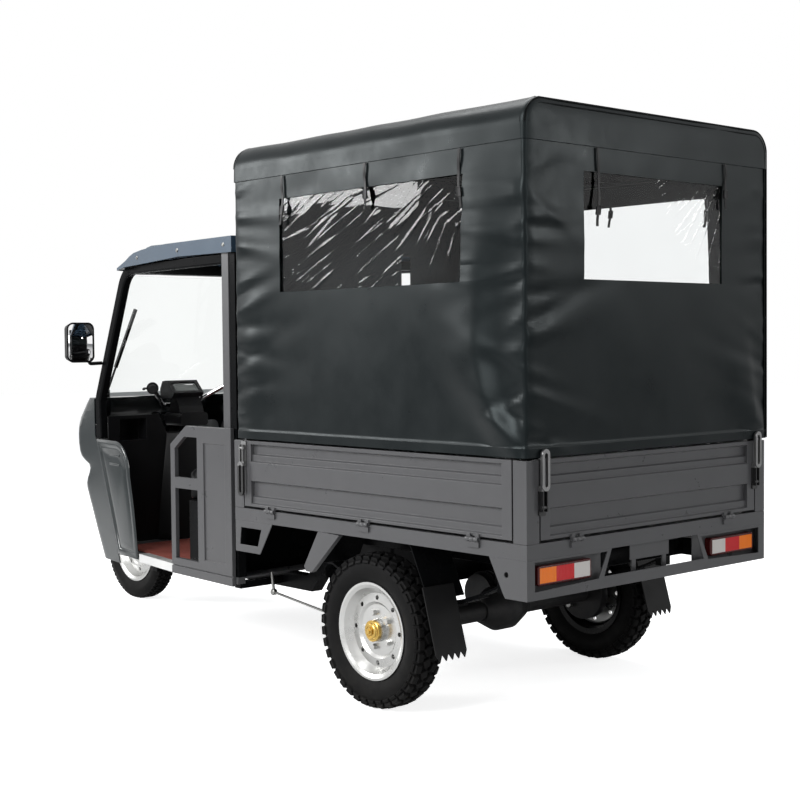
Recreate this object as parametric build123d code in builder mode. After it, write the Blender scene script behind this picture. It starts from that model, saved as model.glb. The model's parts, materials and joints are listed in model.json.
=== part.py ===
"""Electric cargo tricycle: open cab, drop-side bed and soft canopy. Millimetres.

+X forward, +Y to the rider's left, +Z up; the origin is on the ground under the middle.
A station is a distance forward of the bed's rear face, and at() gives its X.
fore() gives the station of a point ahead of the cab's rear face.
"""
import os
from math import cos, radians, sin, sqrt, tan

from build123d import *

# Bed
bed_length = 1500
bed_half = 620
sill_top = 632
sill_depth = 48
sill_width = 40
skirt_drop = 123
panel_height = 254
panel_thickness = 30
post_size = 56
end_gap = 6
hinge_radius = 7
hinge_out = 8

# Wheels
rear_tyre_radius = 265
rear_tyre_width = 110
front_tyre_radius = 254
front_tyre_width = 100
rim_flange_radius = 167.5
rim_share = 0.82
rear_axle_station = bed_length / 2 - 10
rear_track_half = bed_half - 59

# Cab
cab_rear = bed_length + 45
cab_half = 580
taper_run = 425
taper = 8.2
floor_top = 352
floor_bottom = 326
rail_half = bed_half / 2
rail_width = 50
windshield_rake = 23.5
windshield_base = 1010
windshield_rise = 546
windshield_bulge = 100
windshield_run = 1277
pillar_y = 436

# Steering
front_axle_run = 1635
head_run = 1300
head_height = 930
rake = 24
stem_radius = 15
fork_leg_radius = 20
fork_leg_offset = 88
mudguard_gap = 18
mudguard_skin = 4

# Canopy
canopy_top = 1976
canopy_out = 6
canopy_crown = 129
canopy_edge_radius = 80
canopy_end_radius = 14
canopy_set_back = 28
canopy_skin = 4
frame_tube = 25
hem_gap = 8

# Shared small sizes and heights that follow from the sizes above
fit_gap = 0.3
latch_reach = 22
panel_top = sill_top + panel_height
sill_under = sill_top - sill_depth - fit_gap
skirt_bottom = sill_under - skirt_drop
canopy_hem = panel_top + hem_gap
canopy_seam = canopy_top - canopy_crown
windshield_head = windshield_base + windshield_rise
front_axle_station = cab_rear + front_axle_run
taper_start = cab_rear + taper_run
front_reach = front_axle_station + front_tyre_radius + mudguard_gap + mudguard_skin
rear_x = -(front_reach - latch_reach) / 2


def at(station):
    return rear_x + station


def fore(run):
    return cab_rear + run


def half_at(station):
    """Half width of the cab at a station: parallel at the rear, tapering to the nose."""
    return cab_half - max(0, station - taper_start) * tan(radians(taper))


def side_plane(y):
    """Upright plane along the vehicle: sketch X is forward, sketch Y is up, extrudes to the right."""
    return Plane(origin=(0, y, 0), x_dir=(1, 0, 0), z_dir=(0, -1, 0))


def cross_plane(station):
    """Upright plane across the vehicle: sketch X is left, sketch Y is up, extrudes forward."""
    return Plane(origin=(at(station), 0, 0), x_dir=(0, 1, 0), z_dir=(1, 0, 0))


def axle_plane(station, y, height):
    """Upright plane square to an axle: sketch X is forward, extrudes to the left."""
    return Plane(origin=(at(station), y, height), x_dir=(1, 0, 0), z_dir=(0, 1, 0))


def span(lows, highs):
    """Box between two corners given as station, y, z."""
    size = [b - a for a, b in zip(lows, highs)]
    centre = [(a + b) / 2 for a, b in zip(lows, highs)]
    with Locations((at(centre[0]), centre[1], centre[2])):
        Box(*size)


def outline(points, mode=Mode.ADD):
    """Closed face from points given as station, height."""
    polygon([(at(s), z) for s, z in points], mode)


def polygon(points, mode=Mode.ADD):
    """Closed face from points in the sketch's own axes."""
    with BuildLine() as edge:
        Polyline(*points, close=True)
    make_face(edge.edges(), mode=mode)


def save(name, piece):
    piece.label = name
    export_step(piece, f"parts/{name}.step")


def both_sides(name, left):
    """Left piece and its mirror image as one file."""
    with BuildPart() as pair:
        add(left)
        mirror(left, about=Plane.XZ)
    save(name, pair.part)


def handed(stem, left):
    """Left piece and its mirror image as two files."""
    with BuildPart() as right:
        mirror(left, about=Plane.XZ)
    save(f"{stem}_left", left)
    save(f"{stem}_right", right.part)


os.makedirs("parts", exist_ok=True)

# Wheels: tyre and pressed disc rim turned about the axle
bead_drop = 13.6
shoulder_drop = 10
wall_drop = 52
vent_ring = 112
vent_radius = 8
nut_ring = 62
nut_radius = 11
nut_height = 16
disc_depth = 38
hub_radius = 62


def wheel_section(station, y, height):
    return Plane(origin=(at(station), y, height), x_dir=(0, 1, 0), z_dir=(1, 0, 0))


def make_tyre(station, y, radius, width):
    flange = rim_flange_radius
    half = width / 2
    seat = rim_share * half - 9.5
    bead = flange - bead_drop
    side = [(seat, bead), (seat + 4, flange + 1), (half * 0.86, flange + 12), (half, radius - wall_drop)]
    bulge = (half * 0.97, radius - 30)
    shoulder = (half * 0.8, radius - shoulder_drop)
    with BuildPart() as tyre:
        with BuildSketch(wheel_section(station, y, radius)):
            with BuildLine():
                for sign in (1, -1):
                    Polyline(*[(sign * across, high) for across, high in side])
                    ThreePointArc(*[(sign * across, high) for across, high in (side[-1], bulge, shoulder)])
                ThreePointArc(shoulder, (0, radius), (-shoulder[0], shoulder[1]))
                Line(side[0], (-seat, bead))
            make_face()
        revolve(axis=Axis((at(station), y, radius), (0, 1, 0)))
    return tyre.part


def make_rim(station, y, radius, width, out):
    """Rim whose disc faces the side given by out, with vent holes, wheel nuts and a hub cap."""
    flange = rim_flange_radius
    half = rim_share * width / 2
    disc = half - disc_depth
    profile = [
        (-half, flange), (-half + 5, flange), (-half + 9, flange - 14), (-16, flange - 24), (16, flange - 24),
        (half - 9, flange - 14), (half - 5, flange), (half, flange), (half, flange - 8), (half - 6, flange - 20),
        (half - 22, flange - 31), (disc + 4, flange - 40), (disc + 8, 98), (disc, 88), (disc, 40),
        (half - 14, 36), (half - 8, 26), (half - 8, 0), (-half, 0), (-half, hub_radius), (disc - 12, hub_radius),
        (disc - 6, flange - 42), (-12, flange - 29), (-half + 4, flange - 20),
    ]
    face = Plane(origin=(at(station), y + out * disc, radius), x_dir=(1, 0, 0), z_dir=(0, out, 0))
    with BuildPart() as rim:
        with BuildSketch(wheel_section(station, y, radius)):
            polygon([(out * across, high) for across, high in profile])
        revolve(axis=Axis((at(station), y, radius), (0, 1, 0)))
        with BuildSketch(face):
            with PolarLocations(vent_ring, 8):
                Circle(vent_radius)
        extrude(amount=30, both=True, mode=Mode.SUBTRACT)
        with BuildSketch(face.offset(-1)):
            with PolarLocations(nut_ring, 5):
                RegularPolygon(nut_radius, 6)
        extrude(amount=nut_height)
    return rim.part


handed("rear_tyre", make_tyre(rear_axle_station, rear_track_half, rear_tyre_radius, rear_tyre_width))
handed("rear_rim", make_rim(rear_axle_station, rear_track_half, rear_tyre_radius, rear_tyre_width, 1))
save("front_tyre", make_tyre(front_axle_station, 0, front_tyre_radius, front_tyre_width))

axle_radius = 9.9
with BuildPart() as front_rim:
    add(make_rim(front_axle_station, 0, front_tyre_radius, front_tyre_width, 1))
    with BuildSketch(axle_plane(front_axle_station, 0, front_tyre_radius)):
        Circle(axle_radius + 0.05)
    extrude(amount=front_tyre_width, both=True, mode=Mode.SUBTRACT)
save("front_rim", front_rim.part)

# Fork, front axle and mudguard, laid out along the raked steering axis
down = Vector(sin(radians(rake)), 0, -cos(radians(rake)))
ahead = Vector(cos(radians(rake)), 0, sin(radians(rake)))
head = Vector(at(fore(head_run)), 0, head_height)
axle_centre = Vector(at(front_axle_station), 0, front_tyre_radius)
axle_run = (axle_centre - head).dot(down)
fork_ahead = (axle_centre - head).dot(ahead)


def steer_plane(run, forward=0):
    """Plane square to the steering axis, run below the head point; sketch X is left, sketch Y is back."""
    return Plane(origin=head + down * run + ahead * forward, x_dir=(0, 1, 0), z_dir=down)


leg_top = 20
yokes = [(30, 28), (316, 34)]
slider_length = 278
with BuildPart() as fork:
    with BuildSketch(steer_plane(yokes[0][0] + 2)):
        Circle(stem_radius)
    extrude(amount=300)
    for run, thick in yokes:
        with BuildSketch(steer_plane(run, fork_ahead / 2)):
            RectangleRounded(2 * fork_leg_offset + 56, 84, 26)
        extrude(amount=thick)
    with BuildSketch(steer_plane(leg_top, fork_ahead)):
        with Locations((fork_leg_offset, 0), (-fork_leg_offset, 0)):
            Circle(fork_leg_radius)
    extrude(amount=axle_run - leg_top + 26)
    with BuildSketch(steer_plane(axle_run + 28 - slider_length, fork_ahead)):
        with Locations((fork_leg_offset, 0), (-fork_leg_offset, 0)):
            Circle(fork_leg_radius + 5)
    extrude(amount=slider_length)
    with BuildSketch(axle_plane(front_axle_station, 0, front_tyre_radius)):
        Circle(axle_radius)
    extrude(amount=fork_leg_offset + 34, both=True)
save("fork", fork.part)

guard_radius = front_tyre_radius + mudguard_gap
guard_half = 60
guard_lip = 26
guard_foot = 30
pad_y = guard_half + 0.8


def above_axle(outer, inner):
    """Ring about the front axle, cut off below the mudguard's ends."""
    with Locations((axle_centre.X, axle_centre.Z)):
        Circle(outer)
        Circle(inner, mode=Mode.SUBTRACT)
        with Locations((0, guard_foot - outer)):
            Rectangle(2 * outer, 2 * outer, mode=Mode.SUBTRACT)


with BuildPart() as front_mudguard:
    with BuildSketch(side_plane(0)):
        above_axle(guard_radius + mudguard_skin, guard_radius - guard_lip)
    extrude(amount=guard_half, both=True)
    with BuildSketch(side_plane(0)):
        with Locations((axle_centre.X, axle_centre.Z)):
            Circle(guard_radius)
    extrude(amount=guard_half - mudguard_skin, both=True, mode=Mode.SUBTRACT)
    pad = axle_centre - down * (guard_radius - 12)
    for y in (pad_y, -pad_y):
        with BuildSketch(Plane(origin=pad + Vector(0, y, 0), x_dir=ahead, z_dir=(0, -1, 0))):
            Rectangle(30, guard_lip)
        extrude(amount=1.8, both=True)
save("front_mudguard", front_mudguard.part)

# Handlebar and hand controls
bar_left = [(1012, 310, 1050), (1190, 200, 1050), (1293, 78, 962)]
bar_rise = bar_left + [(run, -y, z) for run, y, z in reversed(bar_left)]
bar_points = [Vector(at(fore(run)), y, z) for run, y, z in bar_rise]
bar_radius = 11
bar_bend = 40
with BuildPart() as handlebar:
    with BuildLine() as bar_path:
        FilletPolyline(*bar_points, radius=bar_bend)
    with BuildSketch(Plane(origin=bar_path.line @ 0, z_dir=bar_path.line % 0)):
        Circle(bar_radius)
    sweep()
    with BuildSketch(steer_plane(-52)):
        Rectangle(60, 24)
    extrude(amount=81.7)
save("handlebar", handlebar.part)

grip_radius = 17
grip_length = 122
switch_radius = 27
switch_length = 46
lever_length = 130
grip_along = (bar_points[1] - bar_points[0]).normalized()
lever_out = Vector(-grip_along.Y, grip_along.X, 0)
with BuildPart() as grip:
    with BuildSketch(Plane(origin=bar_points[0] - grip_along * 4, z_dir=grip_along)):
        Circle(grip_radius)
    extrude(amount=grip_length)
    with BuildSketch(Plane(origin=bar_points[0] + grip_along * (grip_length - 4), z_dir=grip_along)):
        Circle(switch_radius)
    extrude(amount=switch_length)
    with BuildSketch(Plane(origin=bar_points[0], z_dir=grip_along)):
        Circle(bar_radius + 0.05)
    extrude(amount=200, mode=Mode.SUBTRACT)
    lever_root = bar_points[0] + grip_along * (grip_length + 6)
    with BuildLine() as lever_path:
        FilletPolyline(lever_root + lever_out * 16, lever_root + lever_out * 36,
                       lever_root + lever_out * 40 - grip_along * lever_length, radius=16)
    with BuildSketch(Plane(origin=lever_path.line @ 0, z_dir=lever_path.line % 0)):
        RectangleRounded(12, 9, 3)
    sweep()
both_sides("hand_controls", grip.part)

# Instrument pod on the head cover, its screen turned up to the rider
cover_line = [(1160, 906), (1249, 906), (1253, 992), (1206, 1001), (1178, 962)]
pod_line = [(1206, 1000), (1253, 996), (1306, 996), (1308, 1040), (1288, 1076), (1252, 1080), (1192, 1022)]
cover_half = 66
pod_half = 84
screen_tilt = 45
with BuildPart() as instrument:
    with BuildSketch(cross_plane(fore(1147))):
        with Locations((0, 899)):
            RectangleRounded(150, 62, 18)
    extrude(amount=139)
    with BuildSketch(side_plane(0)):
        outline([(fore(run), z) for run, z in cover_line])
    extrude(amount=cover_half, both=True)
    with BuildSketch(side_plane(0)):
        outline([(fore(run), z) for run, z in pod_line])
    extrude(amount=pod_half, both=True)
    fillet(instrument.edges().filter_by(Axis.Y).group_by(Axis.Z)[-1], 9)
    screen_normal = (-sin(radians(screen_tilt)), 0, cos(radians(screen_tilt)))
    with BuildSketch(Plane(origin=(at(fore(1222)), 0, 1051), x_dir=(0, 1, 0), z_dir=screen_normal)):
        RectangleRounded(138, 56, 14)
    extrude(amount=4, both=True, mode=Mode.SUBTRACT)
save("instrument", instrument.part)

# Chassis: two rails that drop ahead of the bed, cross members, steering head
rail_deep = 60
rail_high = sill_under - 23.7
cab_rail_top = floor_bottom + 20
rail_front = fore(1225)
rail_profile = [
    (60, rail_high - rail_deep), (60, rail_high), (bed_length - 255, rail_high),
    (bed_length - 75, cab_rail_top), (rail_front, cab_rail_top), (rail_front, cab_rail_top - rail_deep),
    (bed_length - 100, cab_rail_top - rail_deep), (bed_length - 280, rail_high - rail_deep),
]
with BuildPart() as rail:
    with BuildSketch(side_plane(rail_half)):
        outline(rail_profile)
    extrude(amount=rail_width / 2, both=True)
both_sides("chassis_rails", rail.part)

rail_inside = rail_half - rail_width / 2 - fit_gap
rail_outside = rail_half + rail_width / 2 + fit_gap
spring_y = rear_track_half - 150
spring_width = 50
spring_reach = 450
hanger_half = 22
hanger_top = rail_high - 15
hanger_foot = rail_high - 90
bed_cross = [130, 0.373 * bed_length, 0.657 * bed_length]
cab_cross = [fore(355), fore(755)]
hanger_stations = [rear_axle_station - spring_reach, rear_axle_station + spring_reach - 25]
outriggers = [fore(59), fore(655)]
with BuildPart() as cross_members:
    for station in bed_cross:
        span((station - 25, -rail_inside, rail_high - 58), (station + 25, rail_inside, rail_high - 2))
    span((bed_length - 195, -rail_inside, 320), (bed_length - 145, rail_inside, 380))
    for station in cab_cross:
        span((station - 25, -rail_inside, cab_rail_top - 58), (station + 25, rail_inside, cab_rail_top - 2))
    for side in (1, -1):
        for station in hanger_stations:
            near, far = sorted((side * rail_outside, side * (spring_y + 27)))
            span((station - hanger_half, near, hanger_foot), (station + hanger_half, far, hanger_top))
        for station in outriggers:
            near, far = sorted((side * rail_outside, side * (cab_half - 40)))
            span((station - 20, near, floor_bottom - 26), (station + 20, far, floor_bottom - 0.5))
save("cross_members", cross_members.part)

brace_line = [(1167, 290), (1205, 290), (1380, 660), (1345, 800), (1305, 790), (1167, 400)]
head_tube_top = 72
head_tube_length = 234
with BuildPart() as steering_head:
    with BuildSketch(steer_plane(head_tube_top)):
        Circle(32)
    extrude(amount=head_tube_length)
    with BuildSketch(side_plane(0)):
        outline([(fore(run), z) for run, z in brace_line])
    extrude(amount=24, both=True)
    span((fore(1167), -rail_inside, cab_rail_top - 58), (fore(1220), rail_inside, cab_rail_top - 2))
    with BuildSketch(steer_plane(head_tube_top - 12)):
        Circle(stem_radius + 0.05)
    extrude(amount=head_tube_length + 26, mode=Mode.SUBTRACT)
save("steering_head", steering_head.part)

# Cab floor, mat and step trims
step_end = fore(797)
floor_front = fore(1151)
floor_skin = 5.7
floor_side = 36
shield_room = 17
with BuildPart() as cab_floor:
    with BuildSketch(Plane.XY.offset(floor_top - floor_skin)):
        polygon([(at(cab_rear), 0), (at(cab_rear), cab_half), (at(taper_start), cab_half),
                 (at(step_end), half_at(step_end)), (at(step_end), half_at(step_end) - shield_room),
                 (at(floor_front), half_at(floor_front) - shield_room), (at(floor_front), 0)])
        mirror(about=Plane.XZ)
    extrude(amount=floor_skin)
    with BuildSketch(Plane.XY.offset(floor_bottom)):
        polygon([(at(cab_rear), cab_half), (at(taper_start), cab_half), (at(step_end), half_at(step_end)),
                 (at(step_end), half_at(step_end) - floor_side), (at(taper_start), cab_half - floor_side),
                 (at(cab_rear), cab_half - floor_side)])
        mirror(about=Plane.XZ)
    extrude(amount=22)
save("cab_floor", cab_floor.part)

mat_rear = fore(457)
mat_front = fore(1055)
with BuildPart() as floor_mat:
    with BuildSketch(Plane.XY.offset(floor_top + 0.2)):
        polygon([(at(mat_rear), 530), (at(mat_front), 446), (at(mat_front), -446), (at(mat_rear), -530)])
    extrude(amount=5)
save("floor_mat", floor_mat.part)


def taper_plane(inset=0):
    """Plane of the cab's tapering left side; sketch X runs forward along it, extrudes inward."""
    run = Vector(cos(radians(taper)), -sin(radians(taper)), 0)
    inward = Vector(-sin(radians(taper)), -cos(radians(taper)), 0)
    return Plane(origin=Vector(at(taper_start), cab_half, 0) + inward * inset, x_dir=run, z_dir=inward)


def along(run):
    """Distance along the tapering side of a point ahead of the cab's rear face."""
    return (run - taper_run) / cos(radians(taper))


step_runs = (431, 789)
trim_top = floor_top + 6
with BuildPart() as step_trim:
    for inset, low, deep in ((-3.3, floor_bottom - 4, 3), (-0.5, floor_top + fit_gap, 40)):
        with BuildSketch(taper_plane(inset)):
            polygon([(along(step_runs[0]), low), (along(step_runs[1]), low), (along(step_runs[1]), trim_top),
                     (along(step_runs[0]), trim_top)])
        extrude(amount=deep)
both_sides("step_trims", step_trim.part)

# Leg shields: side wings on the tapering plane with a rounded shoulder and a pressed field
shield_foot = 330
shield_head = windshield_base - 184
shield_skin = 16
shield_press = 4
shield_back = [(805, shield_foot), (884, shield_head - 126), (912, shield_head), (1245, shield_head)]
shield_front_foot = 1013
shield_slope = (1245 - shield_front_foot) / (shield_head - shield_foot)
field_top = shield_head - 30
field_line = [(846, 372), (914, shield_head - 126), (940, field_top), (1186, field_top), (996, 372)]


def shield_front(z):
    """Run of the leg shield's front edge, where the cowl starts."""
    return shield_front_foot + shield_slope * (z - shield_foot)


with BuildPart() as leg_shield:
    with BuildSketch(taper_plane()):
        with BuildLine():
            edge = FilletPolyline(*[(along(run), z) for run, z in shield_back], radius=[260, 64])
            Polyline(edge @ 1, (along(shield_front_foot), shield_foot), edge @ 0)
        make_face()
    extrude(amount=shield_skin)
    with BuildSketch(taper_plane()):
        with BuildLine():
            Polyline(*[(along(run), z) for run, z in field_line], close=True)
        face = make_face()
        fillet(face.vertices(), 22)
    extrude(amount=shield_press, mode=Mode.SUBTRACT)
    for rise in (62, 102):
        with BuildSketch(taper_plane(shield_press)):
            with Locations((along(1040), shield_head - rise)):
                SlotOverall(120, 16)
        extrude(amount=-3)
both_sides("leg_shields", leg_shield.part)

# Nose cowl: level sections from the foot to the windshield deck, bulging round the lamps
cowl_foot = 292
cowl_deck = windshield_base - 1
cowl_wall = 5
deck_back = 1268.7
cowl_nose = [
    # share of the height, run of the nose
    (0, 1304), (0.18, 1392), (0.29, 1442), (0.37, 1480), (0.42, 1502), (0.45, 1506), (0.485, 1494),
    (0.52, 1472), (0.55, 1462), (0.575, 1474), (0.598, 1530), (0.62, 1566), (0.65, 1584), (0.7, 1595),
    (0.76, 1597), (0.82, 1588), (0.87, 1564), (0.92, 1520), (0.965, 1462), (1, 1412),
]
nose_sweep = 36
nose_radius = 900


def cowl_loft(inset, foot_shift, deck_shift, mode):
    levels = []
    for share, front in cowl_nose:
        z = cowl_foot + share * (cowl_deck - cowl_foot)
        back = shield_front(z) + 8 if z < shield_head else deck_back
        corner = min(150, 0.58 * (front - back)) - inset
        tip = fore(front - inset)
        rear = fore(back - (1 if inset > 0 else 0))
        level = z + (foot_shift if share == 0 else deck_shift if share == 1 else 0)
        with BuildSketch(Plane.XY.offset(level)) as section:
            with BuildLine():
                wide = half_at(tip) - inset
                left = [(at(rear), half_at(rear) - inset), (at(tip - nose_sweep), wide)]
                right = [(x, -y) for x, y in reversed(left)]
                edge = FilletPolyline(*left, (at(tip), 0), *right, radius=[corner, nose_radius, corner])
                Line(edge @ 1, edge @ 0)
            make_face()
        levels.append(section.sketch)
    loft(levels, ruled=True, mode=mode)


lamp_y = 262
lamp_z = cowl_foot + 0.74 * (cowl_deck - cowl_foot)
lamp_size = (191, 101)
wheel_arch = [(-228, 280), (228, 280), (228, 560), (164, 744), (-164, 744), (-228, 560)]
with BuildPart() as front_cowl:
    cowl_loft(0, 0, 0, Mode.ADD)
    cowl_loft(cowl_wall, -1, -cowl_wall, Mode.SUBTRACT)
    with BuildSketch(cross_plane(fore(1155))):
        polygon(wheel_arch)
    extrude(amount=460, mode=Mode.SUBTRACT)
    with BuildSketch(cross_plane(fore(1415))):
        with Locations((lamp_y, lamp_z), (-lamp_y, lamp_z)):
            RectangleRounded(*lamp_size, 30)
    extrude(amount=260, mode=Mode.SUBTRACT)
    with Locations((at(fore(1305)), 0, cowl_deck - 3)):
        Box(92, 420, 30, mode=Mode.SUBTRACT)
save("front_cowl", front_cowl.part)

with BuildPart() as headlamp:
    with BuildSketch(cross_plane(fore(1470))):
        with Locations((lamp_y, lamp_z)):
            RectangleRounded(lamp_size[0] - 1, lamp_size[1] - 1, 29.5)
    extrude(amount=200)
    cowl_loft(-4, 0, 0, Mode.INTERSECT)
both_sides("headlamps", headlamp.part)

# Inner panel: wall ahead of the rider's feet with two pockets and the column fairing
wall_station = fore(1155)
wall_half = half_at(wall_station) - 20
wall_top = windshield_base - 80
wall_foot = floor_top + fit_gap
pocket_y = 326
pocket_wall = 6
pocket_low, pocket_high = wall_top - 118, wall_top - 4
fairing = [(wall_foot, 210, 60, 150), (wall_top - 90, 150, 38, 110)]
with BuildPart() as inner_panel:
    with BuildSketch(cross_plane(wall_station)):
        polygon([(-wall_half, wall_foot), (wall_half, wall_foot), (wall_half, wall_top), (190, wall_top),
                 (150, wall_top - 84), (-150, wall_top - 84), (-190, wall_top), (-wall_half, wall_top)])
    extrude(amount=pocket_wall)
    for side in (1, -1):
        span((wall_station + 1, side * pocket_y - 76, pocket_low),
             (wall_station + 76, side * pocket_y + 76, pocket_high))
    for side in (1, -1):
        with Locations((at(wall_station + 34), side * pocket_y, wall_top - 64)):
            Box(72, 140, 96, mode=Mode.SUBTRACT)
    for level, wide, reach, narrow in fairing:
        with BuildSketch(Plane.XY.offset(level)):
            polygon([(at(wall_station), wide), (at(wall_station - reach), narrow),
                     (at(wall_station - reach), -narrow), (at(wall_station), -wide)])
    loft(ruled=True)
save("inner_panel", inner_panel.part)

# Roof sizes: a visor with a thin curved front edge, rising to a crowned top
roof_skin = 6
roof_top = windshield_head + 110
roof_rear = fore(-13)
roof_half = 600
roof_narrow = 100 / 1003
roof_tip = fore(1195)
roof_sweep = 205
roof_front_half = 500
roof_crown = 10
roof_slices = [-640, -cab_half, -400, -200, 0, 200, 400, cab_half, 640]
roof_rise = [(0, 78), (40, 64), (79, 50), (115, 33), (152, 21), (220, 12), (300, 6), (420, 0)]
visor_edge = 11
skirt_low = 72


def roof_drop(y):
    return roof_crown * (y / roof_half) ** 2


def roof_front(y):
    return roof_tip - roof_sweep * (y / roof_front_half) ** 2


# Cab frame: pillars swept up into the roof rails, headers and the dark rear hoop
post_front = fore(81)
post_size_cab = 44
post_top = roof_top - roof_skin - roof_drop(cab_half) - 0.2
rail_z = windshield_head + 21
pillar_bend = 120
hoop_deep = 34
hoop_bars = [(640, 680), (windshield_base - 10, windshield_base + 30), (rail_z - 27, rail_z + 11)]
pillar_line = [
    (fore(1234), pillar_y + 4, shield_head + 0.5), (fore(1248), pillar_y, windshield_base - 6),
    (fore(1000), pillar_y + 2, rail_z), (post_front + 3, 552, rail_z),
]
with BuildPart() as pillar:
    with BuildLine() as pillar_path:
        FilletPolyline(*[(at(s), y, z) for s, y, z in pillar_line], radius=[60, pillar_bend])
    with BuildSketch(Plane(origin=pillar_path.line @ 0, x_dir=(1, 0, 0), z_dir=pillar_path.line % 0)):
        RectangleRounded(44, 38, 8)
    sweep()
with BuildPart() as cab_frame:
    add(pillar.part)
    mirror(pillar.part, about=Plane.XZ)
    for lower, upper in ((540, 576), (-576, -540)):
        span((cab_rear, lower, wall_foot), (cab_rear + hoop_deep, upper, post_top))
    for low, high in hoop_bars:
        span((cab_rear, -540 + fit_gap, low), (cab_rear + hoop_deep, 540 - fit_gap, high))
save("cab_frame", cab_frame.part)

with BuildPart() as cab_posts:
    for lower, upper in ((cab_half - post_size_cab, cab_half), (-cab_half, post_size_cab - cab_half)):
        span((post_front - post_size_cab, lower, wall_foot), (post_front, upper, post_top))
save("cab_posts", cab_posts.part)

# Windshield: glass curved about its rake, with a header over it
rake_up = Vector(-sin(radians(windshield_rake)), 0, cos(radians(windshield_rake)))
glass_thick = 5


def curved_band(half, near, far):
    """Band bowed across the vehicle and leaning back along the windshield's rake."""
    plane = Plane(origin=(at(fore(windshield_run)), 0, windshield_base), x_dir=(0, 1, 0), z_dir=rake_up)
    with BuildSketch(plane.offset(-90)) as band:
        with BuildLine():
            ThreePointArc((-half, -near), (0, -near - windshield_bulge), (half, -near))
            Line((half, -near), (half, -far))
            ThreePointArc((half, -far), (0, -far - windshield_bulge), (-half, -far))
            Line((-half, -far), (-half, -near))
        make_face()
    extrude(band.sketch, amount=windshield_rise + 214, dir=rake_up)


def slab(low, high):
    with Locations((at(fore(1155)), 0, (low + high) / 2)):
        Box(900, 1300, high - low, mode=Mode.INTERSECT)


with BuildPart() as windshield:
    curved_band(pillar_y - 24, 0, glass_thick)
    slab(windshield_base - 0.7, windshield_head)
save("windshield", windshield.part)

wiper_foot = (1337, 352, windshield_base + 24)
wiper_tip = (1181, 290, windshield_base + 400)
blade_share = 0.3
with BuildPart() as wiper:
    with BuildSketch(Plane.XY.offset(windshield_base - 0.7)):
        with Locations((at(fore(wiper_foot[0] + 4)), wiper_foot[1])):
            Circle(14)
    extrude(amount=34)
    ends = [Vector(at(fore(run)), y, z) for run, y, z in (wiper_foot, wiper_tip)]
    reach = ends[1] - ends[0]
    for start, wide in ((0, 9), (blade_share, 15)):
        with BuildSketch(Plane(origin=ends[0] + reach * start, z_dir=reach.normalized())):
            RectangleRounded(wide, wide - 1, 2)
        extrude(amount=reach.length * (1 - start - 0.3 * (start == 0)))
save("wiper", wiper.part)

# Roof: side slices lofted across the width, trimmed to the tapering plan, hollow below, ribs along the top


def roof_form(inset, drop):
    slices = []
    for y in roof_slices:
        front = roof_front(y) - inset
        high = roof_top - roof_drop(y) - drop
        top = [(front - back, high - down_by) for back, down_by in roof_rise]
        low = roof_top - skirt_low - 2 * drop
        points = [*top, (roof_rear + inset, high), (roof_rear + inset, low), (fore(415), low + 6),
                  (front - 60, roof_top - roof_rise[0][1] - visor_edge + 4 - 2 * drop),
                  (front, roof_top - roof_drop(y) - roof_rise[0][1] - visor_edge - 2 * drop)]
        with BuildSketch(side_plane(y)) as piece:
            outline(points)
        slices.append(piece.sketch)
    loft(slices, ruled=True)
    wide = roof_half - inset
    narrow = wide - roof_narrow * (roof_tip - roof_rear)
    with BuildSketch(Plane.XY.offset(roof_top - 200)) as plan:
        polygon([(at(roof_rear), wide), (at(roof_tip), narrow),
                 (at(roof_tip), -narrow), (at(roof_rear), -wide)])
    extrude(plan.sketch, amount=300, dir=(0, 0, 1), mode=Mode.INTERSECT)


rib_spacing = 132
rib_half = 26
rib_height = 11
rib_back = fore(25)
rib_short = 170
with BuildPart() as roof_inside:
    roof_form(roof_skin, roof_skin)
with BuildPart() as cab_roof:
    roof_form(0, 0)
    for order in range(-3, 4):
        y = order * rib_spacing
        top = roof_top + rib_height - roof_drop(y)
        tip = roof_front(y) - rib_short
        with BuildSketch(side_plane(y)):
            outline([(rib_back, top - 14), (rib_back + 12, top), (tip - 70, top), (tip - 30, top - 7),
                     (tip, top - 30), (tip - 100, top - 30), (tip - 200, top - 14)])
        extrude(amount=rib_half, both=True)
    add(roof_inside.part, mode=Mode.SUBTRACT)
save("cab_roof", cab_roof.part)

with BuildPart() as roof_under:
    roof_form(roof_skin + 0.4, roof_skin + 0.4)
with BuildPart() as header:
    curved_band(pillar_y - 22, -30, 8)
    slab(windshield_head + fit_gap, roof_top - 26)
    add(roof_under.part, mode=Mode.INTERSECT)
save("windshield_header", header.part)

# Side guards: pressed panels between the seat and the step, with two cut-outs
guard_y = cab_half + 18
guard_foot_rear = floor_bottom - 8
guard_top = 924
guard_line = [(11, guard_foot_rear), (431, floor_bottom), (431, 846), (317, guard_top), (11, guard_top)]
guard_lower = [(241, 388), (399, 390), (399, 672), (241, 672)]
guard_upper = [(241, 716), (399, 716), (399, 832), (331, 880), (241, 880)]
guard_field = [(55, 400), (197, 400), (197, 860), (55, 860)]
guard_seam = [(11, 352), (431, 358), (431, 362), (11, 356)]
guard_press = 6


def guard_faces(*lines):
    for line in lines:
        outline([(fore(run), z) for run, z in line])


with BuildPart() as side_guard:
    with BuildSketch(side_plane(guard_y)):
        guard_faces(guard_line)
    extrude(amount=17.7)
    with BuildSketch(side_plane(guard_y)):
        guard_faces(guard_lower, guard_upper)
    extrude(amount=18, mode=Mode.SUBTRACT)
    with BuildSketch(side_plane(guard_y)):
        guard_faces(guard_field, guard_seam)
    extrude(amount=guard_press, mode=Mode.SUBTRACT)
both_sides("side_guards", side_guard.part)

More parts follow.
